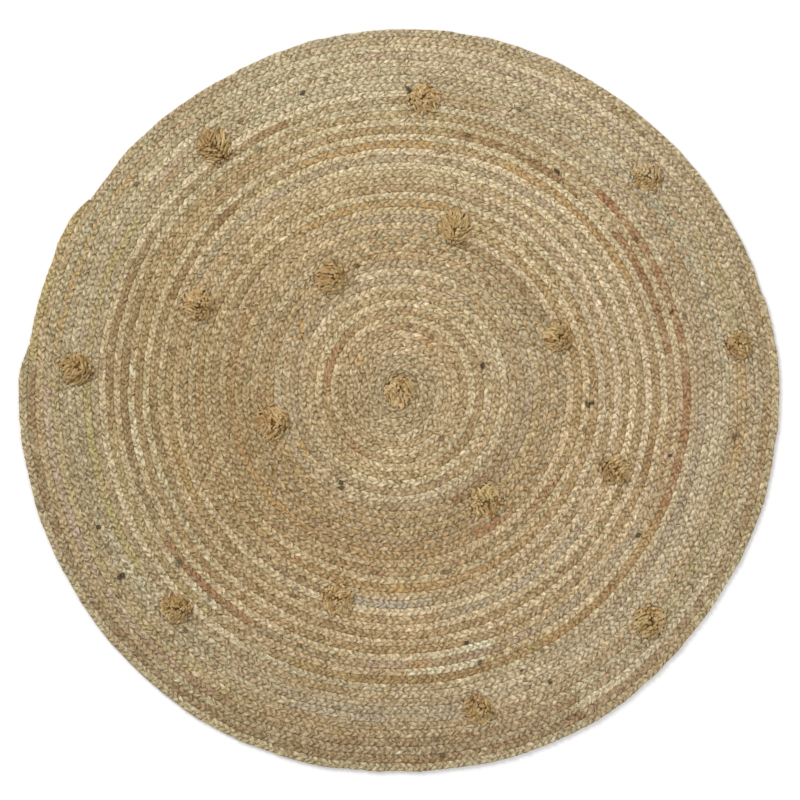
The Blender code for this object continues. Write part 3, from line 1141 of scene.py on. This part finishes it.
    def unevenness(self, pitches: int, chance: np.random.Generator) -> Unevenness:
        """Draws how each lobe differs and each point strays.

        Args:
            pitches: how many pitches long the braid is.
            chance: the source of the random numbers.

        Returns:
            The unevenness of the whole braid.
        """
        lobes = 2 * pitches + self.spare_lobes
        points = (self.steps * (pitches + 1), len(self.lines), 3)
        return Unevenness(
            plump=chance.normal(1.0, self.plump_spread, lobes).clip(*self.plump_limits),
            slip=chance.normal(0.0, self.slip_spread, lobes).clip(*self.slip_limits),
            rough=chance.normal(0.0, 1.0, points).clip(*self.rough_limits),
            gap=chance.normal(1.0, self.gap_spread, lobes).clip(*self.gap_limits),
        )

    def curl(self, off: float) -> float:
        """How far a lobe curls back, in pitches, at a share of the way from the row's middle outward."""
        return self.lean * off**self.lean_power

    def travel_by_length(self, braid: int) -> tuple[np.ndarray, np.ndarray]:
        """Measures a braid along its middle line.

        Args:
            braid: 0 for the inner braid, 1 for the outer.

        Returns:
            Lengths along it in metres, and the travel round the coil at each, in radians.
        """
        travel = np.linspace(0.0, self.coil.end(braid), self.line_points)
        share = self.coil.width(braid, travel) / 2
        x, y = self.coil.place(*self.coil.across(braid, travel, share))
        run = np.concatenate([[0.0], np.cumsum(np.hypot(np.diff(x), np.diff(y)))])
        return run, travel

    def length(self, name: str, plan: BraidPlan, first: int, last: int) -> MeshPiece:
        """Makes one length of a braid, closed all round.

        Args:
            name: the piece's name.
            plan: its braid.
            first: the pitch where it starts.
            last: the pitch where it ends.

        Returns:
            The piece.
        """
        step = np.arange(first * self.steps, last * self.steps + 1)
        top, top_painted_shading = self.top_points(plan, step)
        under, under_painted_shading = self.under_points(plan, step[:: self.steps // 2])
        places = np.concatenate([top.reshape(-1, 3), under.reshape(-1, 3)])
        depth = np.concatenate([top_painted_shading.ravel(), under_painted_shading.ravel()])
        return MeshPiece(name, places, depth, self.faces(plan, step))

    def point(
        self, plan: BraidPlan, run: np.ndarray, share: np.ndarray | float
    ) -> tuple[np.ndarray, np.ndarray, np.ndarray]:
        """Lays points on the rug.

        Args:
            plan: their braid.
            run: how far along the braid they are, in metres.
            share: how far across it.

        Returns:
            Their places along X and Y, and the braid's width there as a share of a row.
        """
        travel = np.interp(run, *plan.travel_at)
        width = self.coil.width(plan.braid, travel)
        x, y = self.coil.place(*self.coil.across(plan.braid, travel, share * width))
        return x, y, width

    def top_points(self, plan: BraidPlan, step: np.ndarray) -> tuple[np.ndarray, np.ndarray]:
        """The upper side of a length: a skewed grid of points that follows the lobes.

        Args:
            plan: its braid.
            step: the steps along it.

        Returns:
            The points, by step and line, and the painted shade of each, with a painted highlight below 0.
        """
        uneven = plan.uneven
        profile, shading_profile = np.array(self.lobe_profile), np.array(self.painted_shading_profile)
        half = self.steps // 2
        places = np.zeros((len(step), len(self.lines), 3))
        depth = np.zeros(places.shape[:2])
        for number, line in enumerate(self.lines):
            off = abs(2 * line.across - 1)
            side = np.sign(line.across - 0.5)
            phase = step if side < 0 else step + half
            at, lobe = phase % self.steps, phase // self.steps
            if side == 0:
                is_crossing = step % half == 0
                rise = np.where(is_crossing, 1.0, self.crossing_rise)
                height = self.crossing_low + (line.crest - self.crossing_low) * rise
                swing = np.where(step % self.steps == half, 1.0, np.where(is_crossing, -1.0, 0.0))
                share = line.across + swing * self.crossing_swing
                slip = self.crossing_slip * uneven.slip_at(2 * lobe, at / self.steps)
                # Painted shade along the middle line, deeper between the crossings.
                depth[:, number] = np.where(is_crossing, *self.crossing_painted_shades)
            else:
                own = 2 * lobe + 1 if side < 0 else 2 * lobe
                plump = uneven.plump[own]
                height = line.gap + (line.crest - line.gap) * profile[at] * plump
                share = line.across + side * (profile[at] - 0.5) * line.bulge / self.cut_width
                slip = uneven.slip_at(own, at / self.steps)
                # Painted shade in the gaps between lobes, and a painted highlight on the crests.
                painted_shade = np.maximum(shading_profile[at], 0.0) * line.painted_gap_shade * uneven.gap[own]
                painted_light = painted_shade + np.minimum(shading_profile[at], 0.0) * line.painted_crest_highlight
                depth[:, number] = painted_light
            rough = uneven.rough[step, number]
            run = (step / self.steps + self.curl(off) + slip + rough[:, 0] * self.rough_run) * self.pitch
            x, y, width = self.point(plan, run, share + rough[:, 1] * self.rough_share)
            height = np.minimum(height + rough[:, 2] * self.rough_height, self.highest)
            height = height * (self.tail_heights[0] + self.tail_heights[1] * width)
            # Raised points get more painted highlight, lowered ones more painted shade.
            depth[:, number] = np.clip(depth[:, number] - rough[:, 2] * self.rough_painted_shading, -1.0, 1.0)
            places[:, number] = np.stack([x, y, height], 1)
        return places, depth

    def under_points(self, plan: BraidPlan, step: np.ndarray) -> tuple[np.ndarray, np.ndarray]:
        """The underside of a length: its two edges and its middle line, which lies on the floor.

        Args:
            plan: its braid.
            step: the steps along it, two in a pitch.

        Returns:
            The points, by step and line, and the painted shade of each.
        """
        low, high = self.under_edge
        odd = (step // (self.steps // 2)) % 2
        heights = (np.where(odd, low, high), np.zeros(len(step)), np.where(odd, high, low))
        places = np.zeros((len(step), 3, 3))
        for number, (share, height) in enumerate(zip(self.under_across, heights)):
            off = min(abs(2 * share - 1), 1.0)
            run = (step / self.steps + self.curl(off)) * self.pitch
            x, y, _ = self.point(plan, run, share)
            places[:, number] = np.stack([x, y, height], 1)
        return places, np.tile(self.under_painted_shades, (len(step), 1))

    def faces(self, plan: BraidPlan, step: np.ndarray) -> list[FaceGroup]:
        """The faces of a length: upper side, underside, both edges and both ends.

        Args:
            plan: its braid.
            step: the steps along it.

        Returns:
            The groups of faces.
        """
        lines, half = len(self.lines), self.steps // 2
        count = len(step) - 1
        under = len(step) * lines
        halves = count // half
        lane_steps = self.steps * -(-count // self.steps // self.lane_count)
        ring_start, ring_step = self.ring_top
        ring_inner, _, ring_outer = self.ring_under

        def group(
            corners: np.ndarray, steps_at: np.ndarray, ring_at: np.ndarray, owner: np.ndarray
        ) -> FaceGroup:
            """Maps one group of faces.

            Args:
                corners: vertex numbers, a row for each face.
                steps_at: each corner's step from the length's start.
                ring_at: its place round the section.
                owner: the lobe that each face belongs to.

            Returns:
                The group, with its fibre map, its map for the bake and its colours.
            """
            lane = (steps_at.min(1) // lane_steps)[:, None]
            along_lane = (steps_at - lane * lane_steps) / lane_steps
            bake = np.stack([along_lane, (lane + ring_at) / self.lane_count], 2)
            lobe_mm = self.pitch * MM_IN_M * self.fibre_scale
            off = np.minimum(np.abs((ring_at - ring_start) / self.ring_half - 1.0), 1.0)
            across_mm = (steps_at + step[0]) / self.steps * lobe_mm + owner[:, None] * self.fibre_jump
            across_mm = across_mm - off * self.fibre_lean
            along_mm = ring_at * self.fibre_round
            return FaceGroup(corners, np.stack([across_mm, along_mm], 2), bake, plan.yarn[owner])

        groups = []
        # The upper side.
        i, line = np.meshgrid(np.arange(count), np.arange(lines - 1), indexing="ij")
        i, line = i.ravel(), line.ravel()
        corner = i * lines + line
        corners = np.stack([corner, corner + lines, corner + lines + 1, corner + 1], 1)
        steps_at = np.stack([i, i + 1, i + 1, i], 1)
        ring = ring_start + ring_step * np.stack([line, line, line + 1, line + 1], 1)
        is_inner = line < lines // 2
        whole = i + step[0]
        phase = np.where(is_inner, whole, whole + half)
        owner = 2 * (phase // self.steps) + is_inner
        top = group(corners, steps_at, ring, owner)
        low, high = self.fleck_steps
        on_crest = (phase % self.steps >= low) & (phase % self.steps < high)
        mark = (plan.marks[owner] * on_crest)[:, None]
        top.yarn = top.yarn + mark * (linear(screen(FLECK)) - top.yarn)
        groups.append(top)
        # The underside.
        j = np.arange(halves)
        whole = j * half + step[0]
        inner_owner, outer_owner = 2 * (whole // self.steps) + 1, 2 * ((whole + half) // self.steps)
        for side, owner in enumerate((inner_owner, outer_owner)):
            corner = under + j * 3 + side
            corners = np.stack([corner, corner + 1, corner + 4, corner + 3], 1)
            steps_at = np.stack([j, j, j + 1, j + 1], 1) * half
            near, far = self.ring_under[side : side + 2]
            ring = np.tile([near, far, far, near], (halves, 1))
            groups.append(group(corners, steps_at, ring, owner))
        # The edges.
        tops = np.stack([j * half + n for n in range(half + 1)], 1)
        inner = np.c_[under + j * 3, under + (j + 1) * 3, tops[:, ::-1] * lines]
        steps_at = np.c_[j * half, (j + 1) * half, tops[:, ::-1]]
        ring = np.tile([ring_inner] * 2 + [self.ring_edges[0]] * (half + 1), (halves, 1))
        groups.append(group(inner, steps_at, ring, inner_owner))
        outer = np.c_[under + j * 3 + 2, tops * lines + lines - 1, under + (j + 1) * 3 + 2]
        steps_at = np.c_[j * half, tops, (j + 1) * half]
        ring = np.tile([ring_outer] + [self.ring_edges[1]] * (half + 1) + [ring_outer], (halves, 1))
        groups.append(group(outer, steps_at, ring, outer_owner))
        # The ends.
        start = np.r_[under, np.arange(lines), under + 2, under + 1][None]
        finish = np.r_[under + halves * 3 + np.arange(3), count * lines + np.arange(lines)[::-1]][None]
        for corners, at, owner in ((start, 0, inner_owner[:1]), (finish, count, inner_owner[-1:])):
            steps_at = np.full(corners.shape, at)
            ring = np.linspace(*self.ring_ends, corners.shape[1])[None]
            face = group(corners, steps_at, ring, owner)
            face.bake[..., 0] = np.linspace(*self.bake_ends, corners.shape[1])
            groups.append(face)
        return groups


# ---- The pompoms ----
@dataclass(frozen=True)
class Tuft:
    """One pompom's own looks."""

    node: str
    heart: tuple[float, float]  # where its strands part, as shares of its radius
    tone: float
    parting: float  # how far the strands are bunched apart
    tie: float  # the direction of the line that it is tied along, in degrees
    stain: Shade = TAN
    stain_angle: float = 0.0  # the side that is stained, in degrees
    stain_share: float = 0.0


TUFTS = (
    Tuft("pompom_01", (-0.18, 0.02), 4, 0.16, 20),
    Tuft("pompom_02", (0.10, -0.25), -4, 0.26, 150, BROWN, 150, 0.40),
    Tuft("pompom_03", (0.05, -0.10), 4, 0.22, -15, GREY, 90, 0.45),
    Tuft("pompom_04", (0.00, -0.38), 2, 0.12, 60),
    Tuft("pompom_05", (0.25, 0.10), 0, 0.26, 85, RUST, 150, 0.30),
    Tuft("pompom_06", (0.12, -0.12), -3, 0.26, 70, BROWN, -70, 0.30),
    Tuft("pompom_07", (0.15, -0.05), 0, 0.16, 100, RUST, -50, 0.25),
    Tuft("pompom_08", (-0.15, 0.05), -1, 0.20, 40, RUST, 210, 0.30),
    Tuft("pompom_09", (0.20, 0.10), -8, 0.24, -35, BROWN, -60, 0.30),
    Tuft("pompom_10", (-0.02, 0.28), 9, 0.22, 45),
    Tuft("pompom_11", (0.28, 0.05), 0, 0.16, 0, RUST, 175, 0.25),
    Tuft("pompom_12", (-0.15, 0.05), 5, 0.22, -30, BROWN, 200, 0.35),
    Tuft("pompom_13", (0.02, -0.02), 5, 0.16, 10, OLIVE, 120, 0.30),
    Tuft("pompom_14", (0.18, 0.00), -2, 0.24, 0, BROWN, 95, 0.35),
    Tuft("pompom_15", (-0.05, 0.15), 4, 0.16, -25),
    Tuft("pompom_16", (0.08, 0.10), 3, 0.20, 115, OLIVE, 190, 0.25),
    Tuft("pompom_17", (0.10, 0.20), 0, 0.16, -40, RUST, 100, 0.25),
)


@dataclass(frozen=True)
class Tier:
    """A ring of strands. The reach and the foot are shares of the pompom's radius."""

    strands: int
    reach: float
    arch: float  # how high they arch
    tip: float  # how high their tips lie
    foot: float  # how far out they start


Part = tuple[np.ndarray, list[list[int]]]  # a small part's points and faces


def open_part() -> None:
    """Opens the primitive just added for editing, all of it selected."""
    bpy.ops.object.mode_set(mode="EDIT")
    bpy.ops.mesh.select_all(action="SELECT")


def close_part() -> Part:
    """Turns the open part's faces outward and takes it out of the scene.

    Returns:
        Its points and its faces.
    """
    bpy.ops.mesh.select_all(action="SELECT")
    bpy.ops.mesh.normals_make_consistent(inside=False)
    bpy.ops.object.mode_set(mode="OBJECT")
    made = bpy.context.active_object
    points = np.array([vertex.co for vertex in made.data.vertices])
    # Extruding gives the faces in another order on each run, so they are put in a fixed one.
    faces = sorted(list(face.vertices) for face in made.data.polygons)
    bpy.data.objects.remove(made)
    return points, faces


@dataclass
class Pompoms:
    """The pompoms: strands of jute yarn, tied in the middle and splayed over the braid."""

    strand_radius: float = 0.0020
    strand_sides: int = 6
    strand_segments: int = 8
    strand_twist: float = 150.0  # degrees from root to tip
    strand_flat: float = 0.72  # its height as a share of its width
    tip_start: float = 0.7  # where a strand begins to narrow
    tip_length: float = 0.3
    tip_narrowing: float = 0.50
    thick_span: tuple[float, float] = (0.75, 1.3)  # the thinnest and thickest, as shares of the radius
    tiers: tuple[Tier, ...] = (
        Tier(31, 1.04, 0.0020, 0.0002, 0.58),
        Tier(28, 0.94, 0.0052, 0.0008, 0.40),
        Tier(23, 0.76, 0.0088, 0.0026, 0.24),
        Tier(15, 0.54, 0.0114, 0.0062, 0.12),
        Tier(6, 0.32, 0.0124, 0.0098, 0.06),
    )
    reach_spread: float = 0.07
    spacing_spread: float = 0.4  # how unevenly a ring's strands are spaced, as a share of their spacing
    tier_turn: float = 3.0  # how a ring is turned, in radians for a reach of 1
    parting_waves: tuple[int, ...] = (2, 3, 5)  # the bunches that the strands part into
    stray: float = 0.25  # how far a strand strays from its own direction, in radians
    foot_span: tuple[float, float] = (0.6, 1.2)
    curl_heights: tuple[float, float] = (0.085, 0.035)  # side to side, as shares of the pompom's radius
    curl_waves: tuple[float, float] = (0.7, 1.7)
    curl_span: tuple[float, float] = (0.3, 1.6)
    curl_power: float = 0.7  # a strand curls more toward its tip
    heart_pull: float = 0.4  # how far the tips of the inner strands follow the heart
    root_height: float = 0.0010
    arch_spread: float = 0.14
    arch_start: float = 0.05  # how far up the arch a strand starts
    arch_power: float = 0.75  # below 1, it's highest nearer the root
    highest: float = 0.0139  # above the seat
    tie_length: float = 0.26  # half the line that it is tied along, as a share of its radius
    seat: float = 0.0082
    core_cut: float = 0.01  # where the sphere is cut off below, as a share of its radius
    core_share: float = 0.76
    core_height: float = 0.0096
    core_shift: float = 0.35  # how far the core follows the heart
    core_painted_shade: float = 0.35  # its painted shade
    # the core's colour, darkened and browned as painted shade in the holes between strands
    core_painted_shade_tint: tuple[float, float, float] = (0.85, 0.72, 0.46)
    core_sides: int = 18
    core_rings: int = 8
    tone_spread: float = 15.0
    warm_spread: float = 1.6
    even_tier: int = 2  # strands that arch less than this tier's are lighter, the others darker
    outer_light: float = 9.0  # how much lighter a strand without an arch would be
    stain_span: tuple[float, float] = (0.5, 1.4)  # how unevenly a stain takes, strand by strand
    root_painted_shade_reach: float = 0.34  # a strand has painted shade at its root, up to this share of its length
    tip_painted_highlight: tuple[float, float, float] = (0.45, 0.3, 0.4)  # its painted highlight toward the tip: how strong, from where, over what
    underside_painted_shade: tuple[float, float] = (0.62, 0.35)  # the painted shade on its lower side, and from where

    def strand(self) -> Part:
        """Models one straight strand along +Z, a metre long, from a small ring extruded step by step.

        Returns:
            Its points, with Z from 0 at the root to 1 at the tip, and its faces.
        """
        bpy.ops.object.select_all(action="DESELECT")
        bpy.ops.mesh.primitive_circle_add(vertices=self.strand_sides, radius=1.0, fill_type="NGON")
        open_part()
        step = 1.0 / self.strand_segments
        turn = np.radians(self.strand_twist) * step
        last = 1.0
        for number in range(1, self.strand_segments + 1):
            share = number * step
            middle = (0.0, 0.0, share)
            near_tip = max(0.0, share - self.tip_start) / self.tip_length
            width = 1.0 - self.tip_narrowing * near_tip**2
            bpy.ops.mesh.extrude_region_move(TRANSFORM_OT_translate={"value": (0.0, 0.0, step)})
            bpy.ops.transform.resize(value=(width / last, width / last, 1.0), center_override=middle)
            bpy.ops.transform.rotate(value=turn, orient_axis="Z", center_override=middle)
            last = width
        return close_part()

    def core(self) -> Part:
        """Models the tied middle under the strands: a low dome, closed below.

        Returns:
            Its points, with a radius and a height of 1, and its faces.
        """
        bpy.ops.object.select_all(action="DESELECT")
        bpy.ops.mesh.primitive_uv_sphere_add(
            segments=self.core_sides, ring_count=self.core_rings, radius=1.0
        )
        open_part()
        cut = (0, 0, self.core_cut)
        bpy.ops.mesh.bisect(plane_co=cut, plane_no=(0, 0, 1), use_fill=True, clear_inner=True)
        return close_part()

    def build(self, material: bpy.types.Material) -> list[bpy.types.Object]:
        """Makes every pompom.

        Args:
            material: the yarn's finish.

        Returns:
            The pompoms, in order of their nodes.
        """
        strand, core = self.strand(), self.core()
        return [
            self.pompom(tuft, strand, core, chance_for(Draw.POMPOMS, number)).build(material)
            for number, tuft in enumerate(TUFTS)
        ]

    def pompom(self, tuft: Tuft, strand: Part, core: Part, chance: np.random.Generator) -> MeshPiece:
        """Makes one pompom from copies of the strand and the core.

        Args:
            tuft: which pompom it is.
            strand: the straight strand's points and faces.
            core: the core's points and faces.
            chance: the source of its random numbers.

        Returns:
            The piece, where its node is.
        """
        low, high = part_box(tuft.node)
        middle = np.array([(low.x + high.x) / 2, (low.y + high.y) / 2])
        radius = (high.x - low.x + high.y - low.y) / 4
        heart = np.array(tuft.heart) * radius
        base = screen(YARN) + tuft.tone
        parts = Parts()
        points = core[0] * [radius * self.core_share, radius * self.core_share, self.core_height]
        points[:, :2] += heart * self.core_shift
        points[:, 2] += self.seat
        # The core carries painted shade, and a darker, browner colour as painted shade.
        parts.add_core(points, core[1], self.core_painted_shade, linear(base) * np.array(self.core_painted_shade_tint))
        phases = chance.uniform(0, FULL_TURN, len(self.parting_waves))
        for tier in self.tiers:
            for which in range(tier.strands):
                spaced = which + chance.uniform(-self.spacing_spread, self.spacing_spread)
                angle = FULL_TURN * spaced / tier.strands + tier.reach * self.tier_turn
                for waves, phase in zip(self.parting_waves, phases):
                    angle += tuft.parting * np.sin(waves * angle + phase) / waves
                path = self.path(tier, tuft, angle, radius, chance)
                thick = self.strand_radius * chance.uniform(*self.thick_span)
                bent, depth = self.bend(strand[0], path, thick)
                colour = linear(self.shade(tier, tuft, angle, base, chance))
                parts.add_strand(bent, strand, depth, colour)
        parts.places[:, :2] += middle
        return MeshPiece(tuft.node + "_yarn", parts.places, parts.depth, parts.groups())

    def shade(
        self, tier: Tier, tuft: Tuft, angle: float, base: np.ndarray, chance: np.random.Generator
    ) -> np.ndarray:
        """The colour of one strand, on a screen's scale.

        Args:
            tier: its tier.
            tuft: its pompom.
            angle: its direction, in radians.
            base: the pompom's own colour.
            chance: the source of its random numbers.

        Returns:
            Its red, green and blue.
        """
        light = self.outer_light * (1 - tier.arch / self.tiers[self.even_tier].arch)
        colour = base + chance.normal(0.0, self.tone_spread) + light
        colour = colour + chance.normal(0.0, self.warm_spread) * np.array(WARM)
        facing = max(0.0, np.cos(angle - np.radians(tuft.stain_angle)))
        share = tuft.stain_share * facing * chance.uniform(*self.stain_span)
        return colour + share * (screen(tuft.stain) - colour)

    def path(
        self, tier: Tier, tuft: Tuft, angle: float, radius: float, chance: np.random.Generator
    ) -> np.ndarray:
        """The line of one strand, from the tied middle up, over and down.

        Args:
            tier: its tier.
            tuft: its pompom.
            angle: its direction, in radians.
            radius: the pompom's radius.
            chance: the source of its random numbers.

        Returns:
            Points along it, evenly by share of its length.
        """
        share = np.linspace(0.0, 1.0, self.strand_segments + 1)
        reach = radius * tier.reach * (1 - chance.uniform(0, 2) * self.reach_spread) - self.strand_radius
        heart = np.array(tuft.heart) * radius
        end = angle + chance.normal(0.0, self.stray)
        tip = np.array([np.cos(end), np.sin(end)]) * reach + heart * self.heart_pull * (1 - tier.reach)
        out = np.array([np.cos(angle), np.sin(angle)])
        tie = np.radians(tuft.tie)
        along = np.array([np.cos(tie), np.sin(tie)]) * self.tie_length * np.cos(angle - tie)
        root = heart + radius * (along + out * tier.foot * chance.uniform(*self.foot_span))
        line = root[None] + (tip - root)[None] * share[:, None]
        side = np.array([-out[1], out[0]])
        for height, waves in zip(self.curl_heights, self.curl_waves):
            bend = np.sin(FULL_TURN * (waves * share + chance.uniform())) * share**self.curl_power
            line += side[None] * (bend * height * radius * chance.uniform(*self.curl_span))[:, None]
        limit = radius * self.tiers[0].reach - self.strand_radius
        line *= np.minimum(1.0, limit / np.maximum(np.hypot(*line.T), TINY))[:, None]
        rise = np.sin(np.pi * (self.arch_start + (1 - self.arch_start) * share) ** self.arch_power)
        arch = tier.arch * (1 + chance.uniform(-self.arch_spread, self.arch_spread))
        height = self.root_height * (1 - share) + tier.tip * share + arch * rise
        return np.c_[line, self.seat + np.minimum(height, self.highest)]

    def bend(self, strand: np.ndarray, path: np.ndarray, thick: float) -> tuple[np.ndarray, np.ndarray]:
        """Lays the straight strand along a path.

        Args:
            strand: the straight strand's points.
            path: the line to follow, with a point for each of the strand's rings.
            thick: its radius.

        Returns:
            The points, and each point's painted shade, with a painted highlight below 0.
        """
        ahead = np.gradient(path, axis=0)
        ahead /= np.linalg.norm(ahead, axis=1)[:, None]
        side = np.cross(ahead, [0.0, 0.0, 1.0])
        side /= np.linalg.norm(side, axis=1)[:, None] + TINY
        over = np.cross(side, ahead)
        wide, high, share = strand.T
        ring = np.clip(np.round(share * self.strand_segments).astype(int), 0, self.strand_segments)
        off = wide[:, None] * side[ring] + high[:, None] * self.strand_flat * over[ring]
        tip_painted_highlight, tip_from, tip_over = self.tip_painted_highlight
        underside_painted_shade, side_from = self.underside_painted_shade
        # Painted shade at the root and on the lower side, and a painted highlight toward the tip.
        depth = 1.0 - smooth(share / self.root_painted_shade_reach) - tip_painted_highlight * smooth((share - tip_from) / tip_over)
        depth += underside_painted_shade * np.clip(side_from - high, 0, 1)
        return path[ring] + thick * off, np.clip(depth, -1, 1)


@dataclass
class Parts:
    """Collects copies of the strand and the core into one piece, with a place for each on both maps."""

    round_mm: float = 9.0  # a strand's girth on the fibre map
    long_mm: float = 26.0  # its length there
    jump_mm: float = 31.0  # how far apart two strands lie
    core_mm: float = 20.0
    cells: int = 12  # places for strands in a row of the map for the bake
    cell_share: tuple[float, float] = (0.05, 0.9)  # where a strand starts in its place, and its size
    cell_margin: float = 0.5  # what is left beside a row of cells, in cells
    core_share: tuple[float, float] = (0.9, 0.09)  # where the core starts on that map, and its size
    number: int = 0
    places: np.ndarray = field(default_factory=lambda: np.zeros((0, 3)))
    # painted shade above 0 and a painted highlight below 0, at each point
    depth: np.ndarray = field(default_factory=lambda: np.zeros(0))
    faces: dict[int, list] = field(default_factory=dict)

    def add_core(
        self, points: np.ndarray, faces: list[list[int]], depth: float, yarn: np.ndarray
    ) -> None:
        """Adds the core, mapped from above.

        Args:
            points: its points in place.
            faces: its faces.
            depth: its painted shade.
            yarn: its colour.
        """
        low, high = points.min(0), points.max(0)
        flat = (points - low)[:, :2] / (high - low)[:2]
        start, size = self.core_share
        painted_shadings = np.full(len(points), depth)
        self.add(points, faces, painted_shadings, yarn, flat * self.core_mm, start + flat * size)

    def add_strand(self, points: np.ndarray, strand: Part, depth: np.ndarray, yarn: np.ndarray) -> None:
        """Adds a strand, mapped round and along.

        Args:
            points: its points in place.
            strand: the straight strand that it was bent from.
            depth: each point's painted shade, with a painted highlight below 0.
            yarn: its colour.
        """
        straight, faces = strand
        turn = np.arctan2(straight[:, 1], straight[:, 0]) / FULL_TURN + 0.5
        along = straight[:, 2]
        fibre = np.c_[turn * self.round_mm + self.number * self.jump_mm, along * self.long_mm]
        cell = np.array([self.number % self.cells, self.number // self.cells])
        start, size = self.cell_share
        bake = (cell + start + size * np.c_[turn, along]) / (self.cells + self.cell_margin)
        self.add(points, faces, depth, yarn, fibre, bake)
        self.number += 1

    def add(
        self, points: np.ndarray, faces: list[list[int]], depth: np.ndarray, yarn: np.ndarray,
        fibre: np.ndarray, bake: np.ndarray,
    ) -> None:
        """Adds one part.

        Args:
            points: its points in place.
            faces: its faces.
            depth: each point's painted shade, with a painted highlight below 0.
            yarn: its colour.
            fibre: each point's place on the fibre map.
            bake: each point's place on the map for the bake.
        """
        first = len(self.places)
        for face in faces:
            group = self.faces.setdefault(len(face), [])
            group.append((np.array(face) + first, fibre[face], bake[face], yarn))
        self.places = np.concatenate([self.places, points])
        self.depth = np.concatenate([self.depth, depth])

    def groups(self) -> list[FaceGroup]:
        """All the faces, grouped by their number of corners."""
        columns = (zip(*faces) for faces in self.faces.values())
        return [FaceGroup(*(np.stack(column) for column in group)) for group in columns]


# ---- The studio ----
@dataclass(frozen=True)
class SoftLamp:
    """A soft lamp: where it hangs, what it points at, how wide it is and how strong."""

    name: str
    place: tuple[float, float, float]
    size: float
    power: float
    colour: tuple[float, float, float]


@dataclass(frozen=True)
class Studio:
    """A plain pale floor, soft light, and a camera straight above the rug."""

    frame_width: float = 1.280
    camera_height: float = 6.0
    camera_place: tuple[float, float] = (0.0008, 0.0008)
    sensor: float = 36.0
    camera_reach: float = 100.0
    floor_size: float = 30.0
    floor_drop: float = 0.0004  # how far it lies under the rug
    floor_rough: float = 0.9
    floor_colour: tuple[float, float, float, float] = (0.96, 0.96, 0.96, 1.0)
    sky: tuple[float, float, float, float] = (1.0, 1.0, 1.0, 1.0)
    sky_strength: float = 0.60
    lamps: tuple[SoftLamp, ...] = (
        SoftLamp("key", (-1.6, 1.9, 2.6), 1.6, 78.0, (1.0, 0.985, 0.96)),
        SoftLamp("fill", (2.2, -1.4, 2.8), 2.4, 34.0, (0.97, 0.985, 1.0)),
    )

    def build(self) -> None:
        """Makes the floor, the light and the camera."""
        self.add_floor()
        self.add_sky()
        for lamp in self.lamps:
            self.add_lamp(lamp)
        self.add_camera()

    def add_floor(self) -> None:
        """Adds the floor, which isn't part of the rug."""
        bpy.ops.object.select_all(action="DESELECT")
        bpy.ops.mesh.primitive_plane_add(size=self.floor_size, location=(0.0, 0.0, -self.floor_drop))
        floor = bpy.context.active_object
        floor.name = "floor"
        shader = Shader("plain_floor")
        shader.feed(shader.surface.inputs["Base Color"], self.floor_colour)
        shader.feed(shader.surface.inputs["Roughness"], self.floor_rough)
        floor.data.materials.append(shader.material)

    def add_sky(self) -> None:
        """Fills the room with even light."""
        world = bpy.data.worlds.new("soft_room")
        world.use_nodes = True
        background = world.node_tree.nodes["Background"]
        background.inputs["Color"].default_value = self.sky
        background.inputs["Strength"].default_value = self.sky_strength
        bpy.context.scene.world = world

    def add_lamp(self, lamp: SoftLamp) -> None:
        """Hangs one soft lamp, pointed at the rug's middle.

        Args:
            lamp: which lamp.
        """
        light = bpy.data.lights.new(lamp.name, "AREA")
        light.size = lamp.size
        light.energy = lamp.power
        light.color = lamp.colour
        made = bpy.data.objects.new(lamp.name, light)
        made.location = lamp.place
        made.rotation_euler = (-made.location).to_track_quat("-Z", "Y").to_euler()
        bpy.context.scene.collection.objects.link(made)

    def add_camera(self) -> None:
        """Hangs the camera straight above the rug."""
        camera = bpy.data.cameras.new("camera")
        camera.sensor_width = self.sensor
        camera.lens = self.sensor * self.camera_height / self.frame_width
        camera.clip_end = self.camera_reach
        made = bpy.data.objects.new("camera", camera)
        made.location = (*self.camera_place, self.camera_height)
        bpy.context.scene.collection.objects.link(made)
        bpy.context.scene.camera = made
        bpy.context.scene.view_settings.view_transform = "Standard"
        bpy.context.scene.view_settings.look = "None"


# ---- The whole ----
def main() -> None:
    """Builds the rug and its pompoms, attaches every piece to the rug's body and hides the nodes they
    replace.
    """
    logging.basicConfig(level=logging.INFO, format="%(message)s")
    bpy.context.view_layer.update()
    Studio().build()

    coil = Coil()
    braids = BraidedField(coil, YarnColours(coil))
    for piece, length in braids.build(BRAID_FINISH.material()):
        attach(piece, BODY)
        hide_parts(FIELD_NODE)
        LOG.info("%s: %.2f m of braid, %d faces", piece.name, length, len(piece.data.polygons))

    pompoms = Pompoms()
    for tuft, piece in zip(TUFTS, pompoms.build(POMPOM_FINISH.material())):
        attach(piece, BODY)
        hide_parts(tuft.node)
        LOG.info("%s: %d faces", piece.name, len(piece.data.polygons))


if __name__ == "__main__":
    main()
